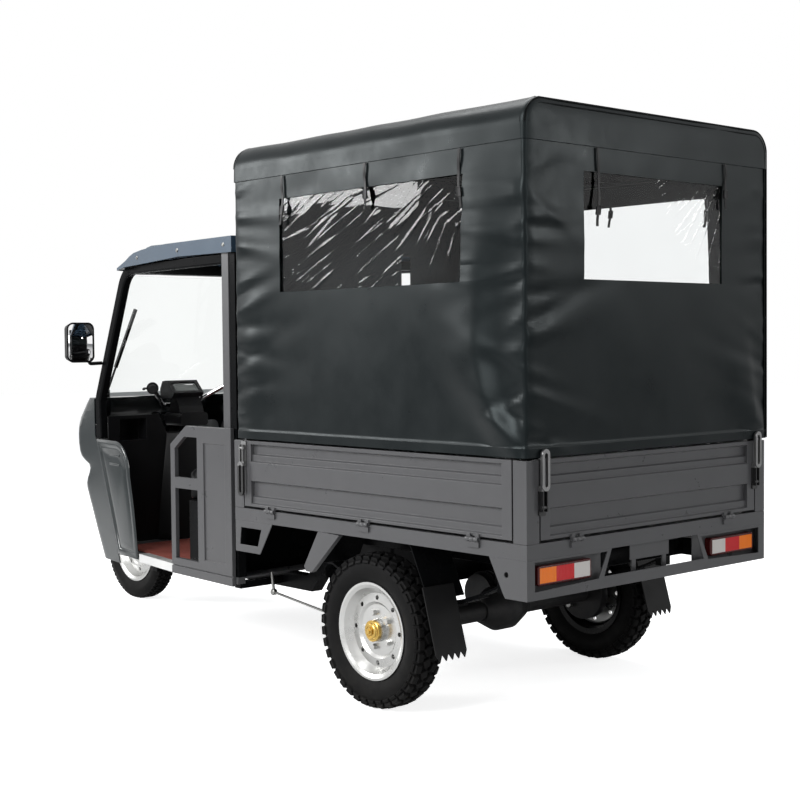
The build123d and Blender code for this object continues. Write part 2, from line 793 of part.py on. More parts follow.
# Mirrors on stalks from the pillars
mirror_station = fore(1155)
mirror_y = 594
mirror_z = windshield_base + 250
mirror_size = (134, 176)
mirror_rim = 14
with BuildPart() as mirror_body:
    with BuildSketch(cross_plane(mirror_station - 16)):
        with Locations((mirror_y, mirror_z)):
            RectangleRounded(*mirror_size, 30)
    extrude(amount=40, taper=14)
    with BuildSketch(cross_plane(mirror_station - 16)):
        with Locations((mirror_y, mirror_z)):
            RectangleRounded(mirror_size[0] - mirror_rim, mirror_size[1] - mirror_rim, 24)
    extrude(amount=4, mode=Mode.SUBTRACT)
    with BuildLine() as stalk_path:
        FilletPolyline((at(fore(1200)), pillar_y + 21.5, mirror_z - 92), (at(fore(1191)), 520, mirror_z - 94),
                       (at(mirror_station + 2), 560, mirror_z - 55), radius=20)
    with BuildSketch(Plane(origin=stalk_path.line @ 0, z_dir=stalk_path.line % 0)):
        Circle(8)
    sweep()
both_sides("mirrors", mirror_body.part)

with BuildPart() as mirror_glass:
    with BuildSketch(cross_plane(mirror_station - 15)):
        with Locations((mirror_y, mirror_z)):
            RectangleRounded(mirror_size[0] - mirror_rim - 0.6, mirror_size[1] - mirror_rim - 0.6, 23.7)
    extrude(amount=2.7)
both_sides("mirror_glass", mirror_glass.part)

# Seat
seat_height = 612
cushion_top = 740
with BuildPart() as seat_base:
    span((fore(95), -505, wall_foot), (fore(440), 505, seat_height))
    with Locations((at(fore(440)), 0, 480)):
        Box(16, 700, 180, mode=Mode.SUBTRACT)
save("seat_base", seat_base.part)

with BuildPart() as seat_cushion:
    span((fore(89), -515, seat_height + fit_gap), (fore(459), 515, cushion_top))
    fillet(seat_cushion.edges().group_by(Axis.Z)[-1], 26)
save("seat_cushion", seat_cushion.part)

back_line = [(hoop_deep + fit_gap, 790), (105, 782), (77, 1168), (hoop_deep + fit_gap, 1172)]
with BuildPart() as seat_back:
    with BuildSketch(side_plane(0)):
        outline([(fore(run), z) for run, z in back_line])
    extrude(amount=490, both=True)
    fillet(seat_back.edges().filter_by(GeomType.LINE).group_by(Axis.X)[-1], 18)
save("seat_back", seat_back.part)

# Rear axle, motor and springs
tube_radius = 36
drum_radius = 104
drum_inside = rear_track_half - 83
drum_width = 37.5
casing = [(-130, 48), (-60, 80), (10, 80), (80, 44)]
with BuildPart() as rear_axle:
    with BuildSketch(axle_plane(rear_axle_station, 0, rear_tyre_radius)):
        Circle(tube_radius)
    extrude(amount=drum_inside, both=True)
    for side in (1, -1):
        with BuildSketch(axle_plane(rear_axle_station, side * drum_inside, rear_tyre_radius)):
            Circle(drum_radius)
        extrude(amount=side * drum_width)
    rings = []
    for y, radius in casing:
        with BuildSketch(axle_plane(rear_axle_station, y, rear_tyre_radius)) as ring:
            Circle(radius)
        rings.append(ring.sketch)
    loft(rings, ruled=True)
save("rear_axle", rear_axle.part)

motor_radius = 72
motor_length = 190
fin_radius = 80
fin_count = 7
motor_lift = 30
motor_ahead = sqrt((casing[1][1] + motor_radius + 0.2) ** 2 - motor_lift ** 2)
motor_plane = Plane(origin=(at(rear_axle_station + motor_ahead), casing[1][0], rear_tyre_radius + motor_lift),
                    x_dir=(1, 0, 0), z_dir=(0, -1, 0))
with BuildPart() as motor:
    with BuildSketch(motor_plane):
        Circle(motor_radius)
    extrude(amount=motor_length)
    for fin in range(fin_count):
        with BuildSketch(motor_plane.offset(24 + 22 * fin)):
            Circle(fin_radius)
        extrude(amount=8)
save("motor", motor.part)

leaf_thick = 8
leaf_rise = 108
leaf_base = 350
leaf_reaches = [spring_reach, 350, 250, 150]
saddle_half = 60
with BuildPart() as spring:
    mid = at(rear_axle_station)
    for order, reach in enumerate(leaf_reaches):
        top = leaf_base - order * leaf_thick
        tip = top + leaf_rise * (reach / spring_reach) ** 2
        with BuildSketch(side_plane(spring_y)):
            with BuildLine():
                ThreePointArc((mid - reach, tip), (mid, top), (mid + reach, tip))
                Line((mid + reach, tip), (mid + reach, tip - leaf_thick))
                under = tip - leaf_thick
                ThreePointArc((mid + reach, under), (mid, top - leaf_thick), (mid - reach, under))
                Line((mid - reach, under), (mid - reach, tip))
            make_face()
        extrude(amount=spring_width / 2, both=True)
    for low, high in ((rear_tyre_radius + tube_radius + 0.5, 326), (342, 358)):
        span((rear_axle_station - saddle_half, spring_y - 30, low),
             (rear_axle_station + saddle_half, spring_y + 30, high))
    for station in hanger_stations:
        span((station - 14, spring_y - 25, 430), (station + 14, spring_y + 25, hanger_foot - fit_gap))
both_sides("leaf_springs", spring.part)

# Rear mudguards and flaps
guard_wide = 83
guard_mid = rear_track_half - 48
guard_skin = 4
arch_line = [(270, 470), (212, sill_under), (-192, sill_under), (-279, 404)]
arch_inner = [(-275, 402), (-189, sill_under - guard_skin), (209.5, sill_under - guard_skin), (266, 468)]
with BuildPart() as rear_mudguard:
    with BuildSketch(side_plane(guard_mid)):
        outline([(rear_axle_station + run, z) for run, z in arch_line + arch_inner])
    extrude(amount=guard_wide, both=True)
both_sides("rear_mudguards", rear_mudguard.part)

flap_half = 70
flap_teeth = 5
tooth_height = 24
flap_mid = rear_track_half - 17
flap_lean = 16
flap_head = 46
flap_drop = 176
flap_skin = 5
flap_origin = (at(rear_axle_station + arch_line[-1][0] - 0.7 - flap_skin), 0, arch_line[-1][1])
flap_normal = (cos(radians(flap_lean)), 0, -sin(radians(flap_lean)))
with BuildPart() as mudflap:
    with BuildSketch(Plane(origin=flap_origin, x_dir=(0, 1, 0), z_dir=flap_normal)):
        pitch = 2 * flap_half / flap_teeth
        teeth = []
        for tooth in range(flap_teeth):
            left = flap_mid - flap_half + tooth * pitch
            teeth += [(left, -flap_drop), (left + pitch / 2, -flap_drop - tooth_height)]
        polygon([(flap_mid - flap_half, flap_head), *teeth, (flap_mid + flap_half, -flap_drop),
                 (flap_mid + flap_half, flap_head)])
    extrude(amount=flap_skin)
both_sides("mudflaps", mudflap.part)

battery_half = rail_inside - 8.7
with BuildPart() as battery_box:
    span((bed_length - 498, -battery_half, 330), (bed_length - 200, battery_half, rail_high - 58 - fit_gap))
    fillet(battery_box.edges().filter_by(Axis.Z), 14)
save("battery_box", battery_box.part)

# Bed floor: pan with side sills, ribs and hinge knuckles
hinge_y = bed_half + hinge_out
side_hinges = [0.15 * bed_length, 0.5 * bed_length, 0.85 * bed_length]
tail_hinges = [-0.64 * bed_half, 0.64 * bed_half]
floor_ribs = [share * bed_length for share in (0.2, 0.37, 0.547, 0.72, 0.867)]
rib_half_width = 30
knuckle = 18
knuckle_shift = 19
leaf_half = 27
leaf_out = 7
pin_radius = 3.5
pin_bore = 3.55
pin_length = 54


def barrel_along_x(station, y, radius, length, mode=Mode.ADD):
    with BuildSketch(cross_plane(station - length / 2)) as ring:
        with Locations((y, sill_top)):
            Circle(radius)
    extrude(ring.sketch, amount=length, dir=(1, 0, 0), mode=mode)


def barrel_along_y(y, radius, length, mode=Mode.ADD):
    with BuildSketch(axle_plane(-hinge_out, y, sill_top)) as ring:
        Circle(radius)
    extrude(ring.sketch, amount=length / 2, both=True, mode=mode)


with BuildPart() as bed_floor:
    sill_low = sill_top - sill_depth
    span((0, -bed_half, sill_top - 5), (bed_length, bed_half, sill_top))
    span((0, bed_half - sill_width, sill_low), (bed_length, bed_half, sill_top))
    span((0, -bed_half, sill_low), (bed_length, -bed_half + sill_width, sill_top))
    span((0, -bed_half, sill_low), (sill_width, bed_half, sill_top))
    span((bed_length - sill_width, -bed_half, sill_low), (bed_length, bed_half, sill_top))
    for station in floor_ribs:
        span((station - rib_half_width, -guard_mid + guard_wide + 6, rail_high + fit_gap),
             (station + rib_half_width, guard_mid - guard_wide - 6, sill_top - 1))
    for station in side_hinges:
        for side in (1, -1):
            barrel_along_x(station, side * hinge_y, hinge_radius, knuckle)
            barrel_along_x(station, side * hinge_y, pin_radius, pin_length)
            near, far = sorted((side * (bed_half - 1), side * (bed_half + leaf_out)))
            span((station - leaf_half, near, sill_top - 26), (station + leaf_half, far, sill_top - 9))
            span((station - knuckle / 2, near, sill_top - 10), (station + knuckle / 2, far, sill_top - 4))
    for y in tail_hinges:
        barrel_along_y(y, hinge_radius, knuckle)
        barrel_along_y(y, pin_radius, pin_length)
        span((-leaf_out, y - leaf_half, sill_top - 26), (1, y + leaf_half, sill_top - 9))
        span((-leaf_out, y - knuckle / 2, sill_top - 10), (1, y + knuckle / 2, sill_top - 4))
save("bed_floor", bed_floor.part)

front_board = 30
with BuildPart() as bed_posts:
    for low in (0, bed_length - post_size):
        for lower, upper in ((bed_half - post_size, bed_half), (-bed_half, -bed_half + post_size)):
            span((low, lower, sill_top + fit_gap), (low + post_size, upper, panel_top))
    board_half = bed_half - post_size - fit_gap
    span((bed_length - 4 - front_board, -board_half, sill_top + fit_gap),
         (bed_length - 4, board_half, panel_top))
save("bed_posts", bed_posts.part)

# Drop sides and tailgate: pressed panels with two stepped grooves and hinge knuckles
groove_table = [
    # top, foot of the deep floor, foot of the groove, below the panel's top
    (12, 48, 80),
    (148, 204, 236),
]
groove_depth = 16
groove_step = 6
groove_margin = 42
panel_foot = sill_top + 9
panel_ends = (post_size + end_gap, bed_length - post_size - end_gap)
tail_half = bed_half - post_size - end_gap


def groove_face(outer, sign):
    """Groove sections across the panel: upright step at the top, two slopes at the foot."""
    deep = outer - sign * groove_depth
    mid = outer - sign * groove_depth / 2
    for top, low, foot in groove_table:
        polygon([(outer + sign, panel_top - top), (deep, panel_top - top - groove_step),
                 (deep, panel_top - low), (mid, panel_top - low - groove_step),
                 (mid, panel_top - foot + groove_step), (outer + sign, panel_top - foot)])


with BuildPart() as drop_side:
    span((panel_ends[0], bed_half - panel_thickness, panel_foot), (panel_ends[1], bed_half, panel_top))
    with BuildSketch(cross_plane(panel_ends[0] + groove_margin)):
        groove_face(bed_half, 1)
    extrude(amount=panel_ends[1] - panel_ends[0] - 2 * groove_margin, mode=Mode.SUBTRACT)
    for station in side_hinges:
        for shift in (-knuckle_shift, knuckle_shift):
            low, high = station + shift - knuckle / 2, station + shift + knuckle / 2
            barrel_along_x(station + shift, hinge_y, hinge_radius, knuckle)
            span((low, bed_half - 1, sill_top + 3), (high, bed_half + leaf_out, sill_top + 16))
        barrel_along_x(station, hinge_y, pin_bore, pin_length + 2, Mode.SUBTRACT)
handed("drop_side", drop_side.part)

with BuildPart() as tailgate:
    span((0, -tail_half, panel_foot), (panel_thickness, tail_half, panel_top))
    with BuildSketch(side_plane(tail_half - groove_margin)):
        groove_face(at(0), -1)
    extrude(amount=2 * (tail_half - groove_margin), mode=Mode.SUBTRACT)
    for y in tail_hinges:
        for shift in (-knuckle_shift, knuckle_shift):
            low, high = y + shift - knuckle / 2, y + shift + knuckle / 2
            barrel_along_y(y + shift, hinge_radius, knuckle)
            span((-leaf_out, low, sill_top + 3), (1, high, sill_top + 16))
        barrel_along_y(y, pin_bore, pin_length + 2, Mode.SUBTRACT)
save("tailgate", tailgate.part)

# Toggle latches carried on the panels and reaching over the posts, with rubber loop handles
latch_z = panel_top - 86
latch_plate = (30, 92)
loop_size = (128, 34)
loop_thick = 9


def toggle(plane):
    """Latch on a plane whose sketch X runs along the panel and whose normal points out of it."""
    with BuildSketch(plane.offset(fit_gap)) as base:
        with Locations((0, 38)):
            RectangleRounded(*latch_plate, 5)
    extrude(base.sketch, amount=5, dir=plane.z_dir)
    with BuildSketch(plane.offset(5)) as cheeks:
        with Locations((-9, 34), (9, 34)):
            Rectangle(4, 74)
    extrude(cheeks.sketch, amount=13, dir=plane.z_dir)
    for rise in (4, 58):
        end = plane.origin - plane.x_dir * 15 + plane.y_dir * rise + plane.z_dir * 11
        with BuildSketch(Plane(origin=end, x_dir=plane.y_dir, z_dir=plane.x_dir)) as pivot:
            Circle(6)
        extrude(pivot.sketch, amount=30, dir=plane.x_dir)
    with BuildSketch(plane.offset(latch_reach - loop_thick)) as loop:
        with Locations((0, -56)):
            SlotOverall(*loop_size, rotation=90)
            SlotOverall(loop_size[0] - 24, loop_size[1] - 20, rotation=90, mode=Mode.SUBTRACT)
    extrude(loop.sketch, amount=loop_thick, dir=plane.z_dir)


with BuildPart() as side_latches:
    toggle(Plane(origin=(at(panel_ends[1] - 3), bed_half, latch_z), x_dir=(-1, 0, 0), z_dir=(0, 1, 0)))
handed("latches", side_latches.part)

with BuildPart() as tail_latches:
    for y in (tail_half - 3, -tail_half + 3):
        toggle(Plane(origin=(at(0), y, latch_z), x_dir=(0, 1, 0), z_dir=(-1, 0, 0)))
save("latches_tail", tail_latches.part)

# Rear skirt with the lamp recesses, and the lamps
sheet = 4
lamp_outer = bed_half - 35
lamp_window = [(bed_half - 332, 494), (lamp_outer, 486), (lamp_outer, 576), (bed_half - 374, 576)]
lamp_mid = bed_half - 182
lamp_lens = (250, 62)
lamp_height = 531
recess_deep = 34
middle_gap = [(bed_half - 358, 498), (bed_half - 398, 590)]
eye_station, eye_height, eye_radius = 87, 534, 9
plate_half = 102
plate_bracket = 26
skirt_corner = [(0, skirt_bottom), (0, sill_under), (160, sill_under), (100, 472), (92, skirt_bottom)]
with BuildPart() as rear_skirt:
    with BuildSketch(cross_plane(0)):
        polygon([(-bed_half, skirt_bottom), (bed_half, skirt_bottom),
                 (bed_half, sill_under), (-bed_half, sill_under)])
        for side in (1, -1):
            polygon([(side * y, z) for y, z in lamp_window], Mode.SUBTRACT)
        polygon([(-middle_gap[0][0], middle_gap[0][1]), middle_gap[0], middle_gap[1],
                 (-middle_gap[1][0], middle_gap[1][1])], Mode.SUBTRACT)
    extrude(amount=sheet)
    for side in (1, -1):
        near, far = sorted((side * (bed_half - 380), side * (bed_half - 4)))
        span((recess_deep, near, 470), (recess_deep + 3, far, sill_under - 0.7))
        with BuildSketch(side_plane(side * (bed_half - sheet / 2))):
            outline(skirt_corner)
            with Locations((at(eye_station), eye_height)):
                Circle(eye_radius, mode=Mode.SUBTRACT)
        extrude(amount=sheet / 2, both=True)
    span((0, -bed_half, skirt_bottom), (recess_deep + 3, bed_half, skirt_bottom + sheet))
    span((plate_bracket, -plate_half, 530), (plate_bracket + sheet, plate_half, sill_under))
    for y in (80, -80):
        span((plate_bracket + 2, y - 10, skirt_bottom + 3), (recess_deep, y + 10, 534))
save("rear_skirt", rear_skirt.part)

with BuildPart() as tail_lamp:
    with BuildSketch(cross_plane(8)):
        with Locations((lamp_mid, lamp_height)):
            RectangleRounded(*lamp_lens, 10)
    extrude(amount=recess_deep - 8 - fit_gap)
    fillet(tail_lamp.faces().sort_by(Axis.X)[0].edges(), 5)
both_sides("tail_lamps", tail_lamp.part)

# Bed brackets: pierced corner skirts at the front and slanted struts
corner_line = [(-230, sill_under), (0, sill_under), (0, 466), (-153, 466)]
corner_hole = [(-162, 558), (-36, 558), (-28, 494), (-140, 494)]
strut_line = [(148, sill_under - 4.7), (264, sill_under), (346, 452), (336, 434), (302, 434)]
with BuildPart() as bed_bracket:
    with BuildSketch(side_plane(bed_half - sheet / 2)):
        outline([(bed_length + back, z) for back, z in corner_line])
        outline([(bed_length + back, z) for back, z in corner_hole], Mode.SUBTRACT)
    extrude(amount=sheet / 2, both=True)
    with BuildSketch(side_plane(bed_half - 12)):
        outline([(rear_axle_station + run, z) for run, z in strut_line])
    extrude(amount=10, both=True)
both_sides("bed_brackets", bed_bracket.part)

# Canopy frame, roof and walls
canopy_half = bed_half + canopy_out
canopy_rear = -canopy_out
canopy_front = bed_length - canopy_set_back
inner_post = bed_half - 20
rail_top = canopy_seam + 38
arch_y = inner_post - frame_tube / 2
arch_bend = 45
middle_crown = canopy_top - canopy_skin - 0.5
end_crown = canopy_top - 32
arch_table = [(18, end_crown), (bed_length / 3, middle_crown), (0.653 * bed_length, middle_crown),
              (canopy_front - 45, end_crown)]
with BuildPart() as canopy_frame:
    for y0 in (inner_post - frame_tube, -inner_post):
        for s0 in (arch_table[0][0], arch_table[-1][0]):
            span((s0, y0, panel_top + fit_gap), (s0 + frame_tube, y0 + frame_tube, rail_top))
        span((arch_table[0][0] + frame_tube + fit_gap, y0, rail_top - frame_tube),
             (arch_table[-1][0] - fit_gap, y0 + frame_tube, rail_top))
    for s0, crown in arch_table:
        arch_z = crown - frame_tube / 2
        with BuildLine(cross_plane(s0 + frame_tube / 2)) as arch_path:
            FilletPolyline((arch_y, rail_top + fit_gap), (arch_y, arch_z), (-arch_y, arch_z),
                           (-arch_y, rail_top + fit_gap), radius=arch_bend)
        with BuildSketch(Plane(origin=arch_path.line @ 0, x_dir=(1, 0, 0), z_dir=arch_path.line % 0)):
            Rectangle(frame_tube, frame_tube)
        sweep()
save("canopy_frame", canopy_frame.part)


def rounded_profile(low_a, high_a, low_b, high_b, radius):
    with BuildLine() as arch:
        corners = [(low_a, low_b), (low_a, high_b), (high_a, high_b), (high_a, low_b)]
        edge = FilletPolyline(*corners, radius=radius)
        Line(edge @ 1, edge @ 0)
    make_face(arch.edges())


def canopy_form(inset, foot):
    top = canopy_top - inset
    ends = at(canopy_rear + inset), at(canopy_front - inset)
    with BuildSketch(side_plane(0)) as length_profile:
        rounded_profile(*ends, foot, top, canopy_end_radius - inset)
    extrude(length_profile.sketch, amount=bed_half + 180, both=True)
    with BuildSketch(cross_plane(-200)) as width_profile:
        rounded_profile(inset - canopy_half, canopy_half - inset, foot - 10, top, canopy_edge_radius - inset)
    extrude(width_profile.sketch, amount=bed_length + 500, dir=(1, 0, 0), mode=Mode.INTERSECT)


with BuildPart() as canopy_inside:
    canopy_form(canopy_skin, canopy_seam - 1)
with BuildPart() as canopy_roof:
    canopy_form(0, canopy_seam)
    add(canopy_inside.part, mode=Mode.SUBTRACT)
save("canopy_roof", canopy_roof.part)

side_low, side_high = canopy_seam - 417, canopy_seam - 82
side_near, side_far = 0.168 * bed_length, bed_length - 305
rear_low, rear_high = canopy_seam - 412, canopy_seam - 77
rear_half = bed_half - 260
film = 2
wall_head = canopy_seam - fit_gap
wall_reach = canopy_half - canopy_skin - fit_gap
with BuildPart() as side_wall:
    span((canopy_rear, canopy_half - canopy_skin, canopy_hem), (canopy_front, canopy_half, wall_head))
    with Locations((at((side_near + side_far) / 2), canopy_half, (side_low + side_high) / 2)):
        Box(side_far - side_near, 40, side_high - side_low, mode=Mode.SUBTRACT)
with BuildPart() as canopy_walls:
    add(side_wall.part)
    mirror(side_wall.part, about=Plane.XZ)
    for low in (canopy_rear, canopy_front - canopy_skin):
        span((low, -wall_reach, canopy_hem), (low + canopy_skin, wall_reach, wall_head))
    with Locations((at(canopy_rear), 0, (rear_low + rear_high) / 2)):
        Box(40, 2 * rear_half, rear_high - rear_low, mode=Mode.SUBTRACT)
save("canopy_walls", canopy_walls.part)

with BuildPart() as canopy_windows:
    for y in (canopy_half - 1 - film, 1 - canopy_half):
        span((side_near + fit_gap, y, side_low + fit_gap),
             (side_far - fit_gap, y + film, side_high - fit_gap))
    span((canopy_rear + 1, fit_gap - rear_half, rear_low + fit_gap),
         (canopy_rear + 1 + film, rear_half - fit_gap, rear_high - fit_gap))
save("canopy_windows", canopy_windows.part)
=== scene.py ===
"""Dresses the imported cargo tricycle: finishes on its solids, a soft canopy with clear films, treaded tyres,
pressed leg shields, a padded seat and small fittings. Metres, +X forward, +Y to the rider's left, +Z up.
"""
import json
import math

import bmesh
import bpy
from mathutils import Matrix, Vector, noise


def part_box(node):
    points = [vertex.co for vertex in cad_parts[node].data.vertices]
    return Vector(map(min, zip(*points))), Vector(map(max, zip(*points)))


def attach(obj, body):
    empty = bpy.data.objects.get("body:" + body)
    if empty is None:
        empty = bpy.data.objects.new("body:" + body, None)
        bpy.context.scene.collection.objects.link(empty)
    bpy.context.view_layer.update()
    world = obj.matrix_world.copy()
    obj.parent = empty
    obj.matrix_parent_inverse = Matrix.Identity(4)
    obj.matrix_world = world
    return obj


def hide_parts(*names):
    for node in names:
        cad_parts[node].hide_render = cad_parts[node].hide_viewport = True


bl_info = {
    "name": "Cargo tricycle dressing",
    "version": (1, 0, 0),
    "blender": (4, 5, 0),
    "location": "View3D > Sidebar > Tricycle",
    "description": "Finishes, canopy, tyres, seat and fittings of a cargo tricycle",
    "category": "Object",
}

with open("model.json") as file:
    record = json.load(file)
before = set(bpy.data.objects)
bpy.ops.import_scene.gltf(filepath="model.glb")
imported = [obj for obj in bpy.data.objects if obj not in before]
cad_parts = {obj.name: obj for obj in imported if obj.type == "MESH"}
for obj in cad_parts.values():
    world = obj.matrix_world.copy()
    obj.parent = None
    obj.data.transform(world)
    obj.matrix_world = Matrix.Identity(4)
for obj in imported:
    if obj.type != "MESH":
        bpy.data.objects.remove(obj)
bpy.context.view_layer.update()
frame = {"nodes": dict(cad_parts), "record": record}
nodes = frame["nodes"]
canopy_low, walls_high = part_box("canopy_walls")
canopy_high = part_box("canopy_roof")[1]
seam_height = walls_high.z
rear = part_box("bed_floor")[0].x


# Settings

class TricycleColours(bpy.types.PropertyGroup):
    """Colours of the finishes."""

    def colour(title, text, value):
        return bpy.props.FloatVectorProperty(
            name=title, description=text, subtype="COLOR", size=3, min=0.0, max=1.0, default=value
        )

    bed: colour("Bed paint", "Satin grey of the bed, the posts and the chassis", (0.062, 0.062, 0.065))
    shield: colour("Shield paint", "Gloss green grey of the nose and the leg shields", (0.016, 0.020, 0.021))
    roof: colour("Roof paint", "Slate blue of the cab roof", (0.034, 0.058, 0.088))
    canopy: colour("Canopy vinyl", "Black grey of the soft canopy", (0.0044, 0.0060, 0.0066))
    rubber: colour("Rubber", "Tyres and rubber parts", (0.0050, 0.0050, 0.0052))
    mat: colour("Floor mat", "Red brown of the floor mat", (0.155, 0.036, 0.026))
    rim: colour("Rim paint", "Silver of the wheel rims", (0.50, 0.50, 0.49))
    hub: colour("Hub cap", "Brass of the hub caps and nuts", (0.50, 0.33, 0.09))
    del colour


class TricycleSizes(bpy.types.PropertyGroup):
    """Sizes of the soft parts and the tyres."""

    def length(title, text, value):
        return bpy.props.FloatProperty(
            name=title, description=text, default=value, min=0.0, unit="LENGTH", subtype="DISTANCE"
        )

    edge_round: length("Edge round", "Small round on the edges of the rigid pieces", 0.0018)
    edge_radius: length("Roof edge radius", "Round of the canopy roof along its two sides", 0.080)
    end_radius: length("End radius", "Round of the canopy sheet at its front and rear ends", 0.014)
    sheet_pitch: length("Sheet pitch", "Spacing of the canopy sheet's grid before it is halved", 0.030)
    sheet_thickness: length("Sheet thickness", "Thickness of the canopy vinyl", 0.003)
    seam_step: length("Seam step", "How far the roof's band stands out over the walls", 0.0035)
    film_pitch: length("Film pitch", "Spacing of the clear films' grid", 0.0065)
    tread_depth: length("Tread depth", "Height of the rear tyres' tread blocks", 0.010)
    tread_blocks: bpy.props.IntProperty(
        name="Tread blocks", description="Tread blocks round a rear tyre in one row",
        default=38, min=12, max=80,
    )
    del length


def colours():
    return bpy.context.scene.tricycle_colours


def sizes():
    return bpy.context.scene.tricycle_sizes


# Modelling helpers

def deselect():
    if bpy.context.object and bpy.context.object.mode != "OBJECT":
        bpy.ops.object.mode_set(mode="OBJECT")
    bpy.ops.object.select_all(action="DESELECT")


def take(piece):
    """Makes a piece the only one selected."""
    deselect()
    piece.select_set(True)
    bpy.context.view_layer.objects.active = piece


def name_as(piece, name):
    piece.name = name
    piece.data.name = name
    return piece


def named(name):
    """Applies the placing of the newest piece and names it."""
    bpy.ops.object.transform_apply(location=True, rotation=True, scale=True)
    return name_as(bpy.context.object, name)


def block(name, low, high):
    deselect()
    middle = [(a + b) / 2 for a, b in zip(low, high)]
    bpy.ops.mesh.primitive_cube_add(size=1, location=middle)
    bpy.context.object.scale = [b - a for a, b in zip(low, high)]
    return named(name)


def rod(name, start, end, radius, sides):
    """Closed round bar between two points."""
    deselect()
    run = end - start
    bpy.ops.mesh.primitive_cylinder_add(
        vertices=sides, radius=radius, depth=run.length, location=(start + end) / 2,
        rotation=run.to_track_quat("Z", "Y").to_euler(),
    )
    return named(name)


def drawn(points, fill="NOTHING"):
    """Ring of points, each set to its place."""
    deselect()
    bpy.ops.mesh.primitive_circle_add(vertices=len(points), radius=0.1, fill_type=fill)
    ring = bpy.context.object
    for vertex, point in zip(ring.data.vertices, points):
        vertex.co = point
    ring.data.update()
    return ring


def turned(name, rows, sides):
    """Closed turned form along +Z through (radius, height) rows."""
    deselect()
    radius, height = rows[0]
    foot = (0, 0, height)
    bpy.ops.mesh.primitive_circle_add(vertices=sides, radius=radius, fill_type="NGON", location=foot)
    piece = named(name)
    edit(piece)
    for wider, higher in rows[1:]:
        extrude_by((0, 0, higher - height))
        bpy.ops.transform.resize(value=(wider / radius, wider / radius, 1), center_override=(0, 0, 0))
        radius, height = wider, higher
    leave()
    close_up(piece)
    return piece


def edit(piece):
    """Opens a piece in edit mode with all of it selected."""
    take(piece)
    bpy.ops.object.mode_set(mode="EDIT")
    bpy.ops.mesh.select_all(action="SELECT")


def leave():
    bpy.ops.object.mode_set(mode="OBJECT")


def extrude_by(shift):
    bpy.ops.mesh.extrude_region_move(TRANSFORM_OT_translate={"value": shift})


def soften(offset, segments):
    bpy.ops.mesh.bevel(offset=offset, segments=segments, affect="EDGES")


def pick(kind, test):
    """Selects the edges or faces that pass a test, in edit mode."""
    bpy.ops.mesh.select_mode(type=kind)
    bpy.ops.mesh.select_all(action="DESELECT")
    mesh = bmesh.from_edit_mesh(bpy.context.edit_object.data)
    for item in {"EDGE": mesh.edges, "FACE": mesh.faces}[kind]:
        if test(item):
            item.select_set(True)
    mesh.select_flush_mode()
    bmesh.update_edit_mesh(bpy.context.edit_object.data)


def middle_of(item):
    return sum((vertex.co for vertex in item.verts), Vector()) / len(item.verts)


def rise_of(edge):
    return abs(edge.verts[0].co.z - edge.verts[1].co.z)


def slice_across(axis, places):
    """Cuts the piece in edit mode by planes square to an axis."""
    for place in places:
        point = Vector()
        square = Vector()
        point[axis] = place
        square[axis] = 1.0
        bpy.ops.mesh.select_all(action="SELECT")
        bpy.ops.mesh.bisect(plane_co=point, plane_no=square)


def steps(low, high, pitch):
    count = max(1, round((high - low) / pitch))
    return [low + (high - low) * i / count for i in range(count + 1)]


def move_points(piece, shift):
    """Moves each point of a piece by what a rule gives for its place and normal."""
    mesh = bmesh.new()
    mesh.from_mesh(piece.data)
    mesh.normal_update()
    moves = [shift(vertex.co.copy(), vertex.normal.copy()) for vertex in mesh.verts]
    for vertex, move in zip(mesh.verts, moves):
        vertex.co += move
    mesh.to_mesh(piece.data)
    mesh.free()


def modify(piece, kind, **values):
    """Adds a modifier with its values and applies it."""
    take(piece)
    step = piece.modifiers.new(kind.lower(), kind)
    for key, value in values.items():
        setattr(step, key, value)
    bpy.ops.object.modifier_apply(modifier=step.name)


def close_up(piece):
    """Merges doubled points and turns the faces outwards."""
    edit(piece)
    bpy.ops.mesh.remove_doubles(threshold=0.00002)
    bpy.ops.mesh.normals_make_consistent(inside=False)
    leave()


def join(name, pieces):
    take(pieces[0])
    for piece in pieces:
        piece.select_set(True)
    bpy.ops.object.join()
    return name_as(bpy.context.object, name)


def copy_of(piece, name, matrix):
    twin = piece.copy()
    twin.data = piece.data.copy()
    bpy.context.scene.collection.objects.link(twin)
    twin.data.transform(matrix)
    if matrix.determinant() < 0:
        twin.data.flip_normals()
    return name_as(twin, name)


def facing(place, direction):
    """Matrix that sets a form made along +Z on a place with its axis along a direction."""
    return Matrix.Translation(place) @ Vector(direction).to_track_quat("Z", "Y").to_matrix().to_4x4()


def on_surface(node, start, direction):
    """Place and normal where a line meets a solid."""
    found, place, normal, _ = nodes[node].ray_cast(Vector(start), Vector(direction).normalized())
    if not found:
        raise RuntimeError(f"no surface of {node} at {start}")
    return place, normal


def finished(piece, body, slot, finish=None, angle=35):
    """Smooths a piece, gives it a finish and sets it on its body."""
    take(piece)
    bpy.ops.object.shade_smooth_by_angle(angle=math.radians(angle))
    piece.data.materials.clear()
    piece.data.materials.append(bpy.data.materials[finish or slot])
    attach(piece, body)


# Node helpers

def feed(tree, socket, value):
    """Gives a socket a value, or links it to the socket that feeds it."""
    if isinstance(value, bpy.types.NodeSocket):
        tree.links.new(value, socket)
    else:
        socket.default_value = value


def add_node(tree, kind, settings=None, **sockets):
    """Node with its settings and the values of its sockets."""
    node = tree.nodes.new(kind)
    for key, value in (settings or {}).items():
        setattr(node, key, value)
    for key, value in sockets.items():
        feed(tree, node.inputs[key.replace("_", " ")], value)
    return node


